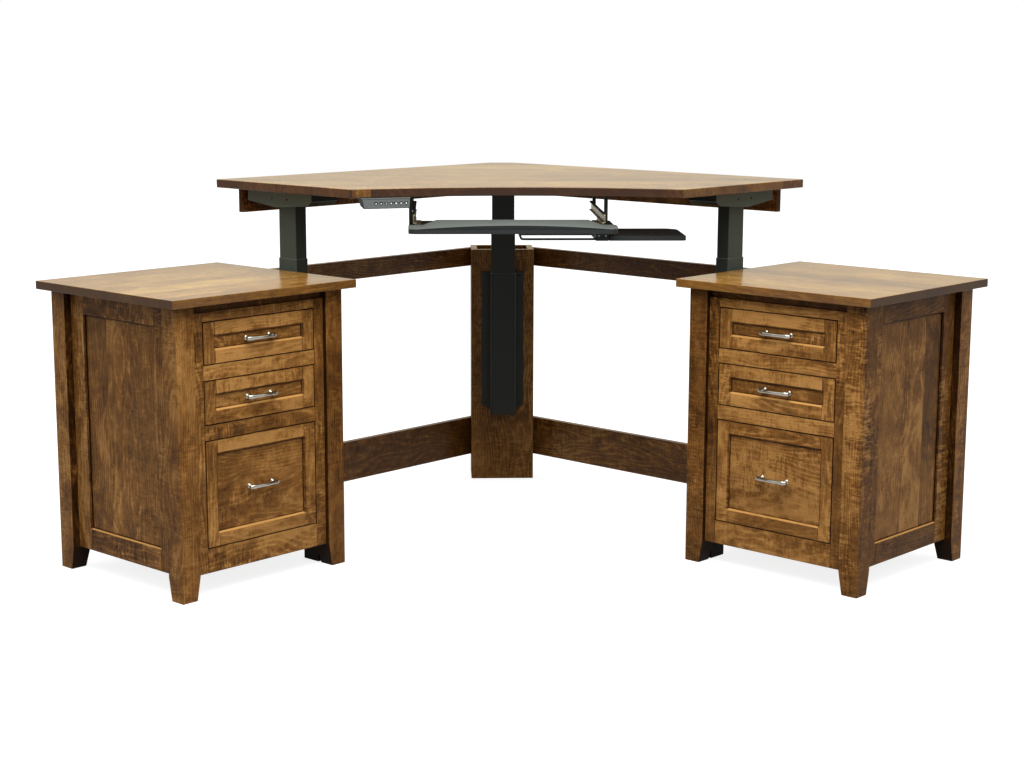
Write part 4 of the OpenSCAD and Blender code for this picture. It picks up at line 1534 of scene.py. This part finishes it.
@dataclass
class Fixings:
    """The screws that hold the lifting heads and the column plates."""

    tab_reach: float = 51 * MM
    tab_ends: tuple[float, ...] = (-118 * MM, -78 * MM, 78 * MM, 118 * MM)
    tab_screw: float = 7 * MM
    head_drop: float = 3.2 * MM
    plate_reach: float = 54.5 * MM
    plate_inset: float = 12 * MM
    plate_gap: float = 0.2 * MM
    plate_screw: float = 6.5 * MM
    columns: tuple[tuple[str, Placing], ...] = (
        ("left", Placing.LEFT), ("centre", Placing.DIAGONAL), ("right", Placing.RIGHT))

    def build(self) -> None:
        """Makes the screws of the heads and of the plates."""
        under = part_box("desktop")[0][2] - self.head_drop
        for name, placing in self.columns:
            low, high = placing.node_box(f"{name}_inner_tube")
            middle = (low + high) / 2
            along, aside = (ALONG, -FRONT) if placing is Placing.DIAGONAL else (-FRONT, ALONG)
            spots = [(Vector((middle.x, middle.y, under)) + along * a + aside * side * self.tab_reach, -UP)
                     for a in self.tab_ends for side in (-1, 1)]
            Screws(f"{name}_head_screws", BODIES["lifting_heads"], spots, placing, self.tab_screw).build()
            spots = self.plate_spots(f"{name}_outer_tube", placing, along, -aside)
            Screws(f"{name}_plate_screws", BODIES["column_plates"], spots, placing, self.plate_screw).build()

    def plate_spots(
            self, tube: str, placing: Placing, across: Vector, out: Vector) -> list[tuple[Vector, Vector]]:
        """Finds the places of the screws in a column plate's corners.

        Args:
            tube: The outer tube that the plate holds.
            placing: The column's group.
            across: The way across the plate.
            out: The way that the plate looks.

        Returns:
            Each screw's place and the way that it looks.
        """
        low, high = placing.node_box(tube)
        face = (low + high) / 2 - out * (abs((high - low).dot(out)) / 2 + self.plate_gap)
        levels = (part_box("column_plates")[0][2] + self.plate_inset, high.z - self.plate_inset)
        return [(Vector((face.x, face.y, z)) + across * side * self.plate_reach, out)
                for z in levels for side in (-1, 1)]


@dataclass
class Studio:
    """The camera, the pale floor and the soft studio light."""

    camera_at: Triple = (3.3168, -3.6300, 1.3739)
    heading: float = math.radians(45 - 2.44)
    pitch: float = math.radians(10.16)
    roll: float = math.radians(0.17)
    focal_pixels: float = 1865.6
    image_width: float = 1024.0
    sensor: float = 36.0
    floor_size: float = 12.0
    floor_drop: float = 0.5 * MM
    glow: float = 0.84
    paper: float = 0.45
    bounce: float = 0.22
    low_light: float = 0.09
    high_light: float = 1.1
    sky_rise: float = 1.6
    sky_start: float = -0.1
    mirrored_front: float = 0.25
    mirrored_back: float = 0.7
    back_rise: float = 1.2
    back_start: float = 0.2
    mirrored_sky: float = 0.9
    mirrored_floor: float = 0.35
    mirrored_tint: tuple[float, float, float, float] = (0.97, 1.0, 0.89, 1.0)
    lamp_at: Triple = (1.0, -1.15, 3.0)
    lamp_aim: Triple = (0.0, 0.0, 0.5)
    lamp_size: float = 2.4
    lamp_power: float = 95.0

    def build(self) -> None:
        """Sets up the studio."""
        self.set_camera()
        self.lay_floor()
        self.set_world()
        self.hang_lamp()
        bpy.context.scene.view_settings.view_transform = "Standard"

    def set_camera(self) -> None:
        """Places the camera where the photograph was taken from."""
        lens = bpy.data.cameras.new("camera")
        lens.sensor_width = self.sensor
        lens.sensor_fit = "HORIZONTAL"
        lens.lens = self.focal_pixels / self.image_width * self.sensor
        camera = show("camera", lens)
        turn = Matrix.Rotation(self.heading, 4, "Z") @ Matrix.Rotation(math.pi / 2 - self.pitch, 4, "X")
        camera.matrix_world = Matrix.Translation(self.camera_at) @ turn @ Matrix.Rotation(self.roll, 4, "Z")
        bpy.context.scene.camera = camera

    def lay_floor(self) -> None:
        """Lays a white floor that keeps the desk's shadow."""
        mesh = bmesh.new()
        bmesh.ops.create_grid(mesh, x_segments=1, y_segments=1, size=self.floor_size)
        floor = show("floor", as_data(mesh, "floor"))
        floor.location.z = -self.floor_drop
        shader = Shader("studio_floor")
        path = shader.add("LightPath").outputs
        clear = shader.math("MAXIMUM", path["Is Camera Ray"], path["Is Transmission Ray"])
        mirrored = shader.math("MULTIPLY", path["Is Glossy Ray"], self.mirrored_floor)
        grey, lit = (shader.add("BsdfDiffuse", {"Color": (level, level, level, 1)}).outputs[0]
                     for level in (self.bounce, self.paper))
        white = shader.add("Emission", {"Color": WHITE, "Strength": self.glow}).outputs[0]
        shown = shader.add("AddShader", {0: white, 1: lit}).outputs[0]
        both = shader.add("MixShader", {0: shader.math("MAXIMUM", clear, mirrored), 1: grey, 2: shown})
        shader.feed(shader.tree.nodes["Material Output"].inputs["Surface"], both.outputs[0])
        floor.data.materials.append(shader.material)

    def set_world(self) -> None:
        """Lights the desk from a soft sky, shows white behind it and gives metal a brighter back to mirror."""
        world = bpy.data.worlds.new("studio")
        bpy.context.scene.world = world
        world.use_nodes = True
        sides = Nodes(world.node_tree)
        path = sides.add("LightPath").outputs
        x, y, z = sides.parts(sides.add("TexCoord").outputs["Generated"])
        sky = sides.between(
            sides.scale_add(z, self.sky_rise, self.sky_start, clamp=True), self.low_light, self.high_light)
        back = sides.scale_add(sides.math("SUBTRACT", y, x), self.back_rise, self.back_start, clamp=True)
        mirrored = sides.math(
            "MAXIMUM", sides.between(back, self.mirrored_front, self.mirrored_back),
            sides.math("MULTIPLY", sky, self.mirrored_sky))
        glossy = path["Is Glossy Ray"]
        soft = sides.math("MULTIPLY", sides.math("SUBTRACT", 1.0, glossy), sky)
        light = sides.scale_add(glossy, mirrored, soft)
        direct = sides.math("MAXIMUM", path["Is Camera Ray"], path["Is Transmission Ray"])
        background = world.node_tree.nodes["Background"].inputs
        sides.feed(background["Color"], sides.mix(glossy, WHITE, self.mirrored_tint))
        sides.feed(background["Strength"], sides.math("MAXIMUM", direct, light))

    def hang_lamp(self) -> None:
        """Hangs a large soft lamp above the front of the desk, pointed at its middle."""
        light = bpy.data.lights.new("key", "AREA")
        light.shape = "SQUARE"
        light.size = self.lamp_size
        light.energy = self.lamp_power
        lamp = show("key", light)
        lamp.location = self.lamp_at
        aim = Vector(self.lamp_aim) - Vector(self.lamp_at)
        lamp.rotation_euler = aim.to_track_quat("-Z", "Y").to_euler()


def main() -> None:
    """Builds the desk and its studio, piece by piece."""
    logging.basicConfig(level=logging.INFO, format="%(name)s: %(message)s")
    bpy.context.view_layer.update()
    Studio().build()
    # The left top drawer takes the strongest painted highlight.
    Pedestal(Placing.LEFT, top_drawer_tone=0.25).build()
    Pedestal(Placing.RIGHT, top_drawer_tone=0.06).build()
    CornerFrame().build()
    Desktop().build()
    LiftingColumns().build()
    TrayAndControls().build()
    Fixings().build()


if __name__ == "__main__":
    main()
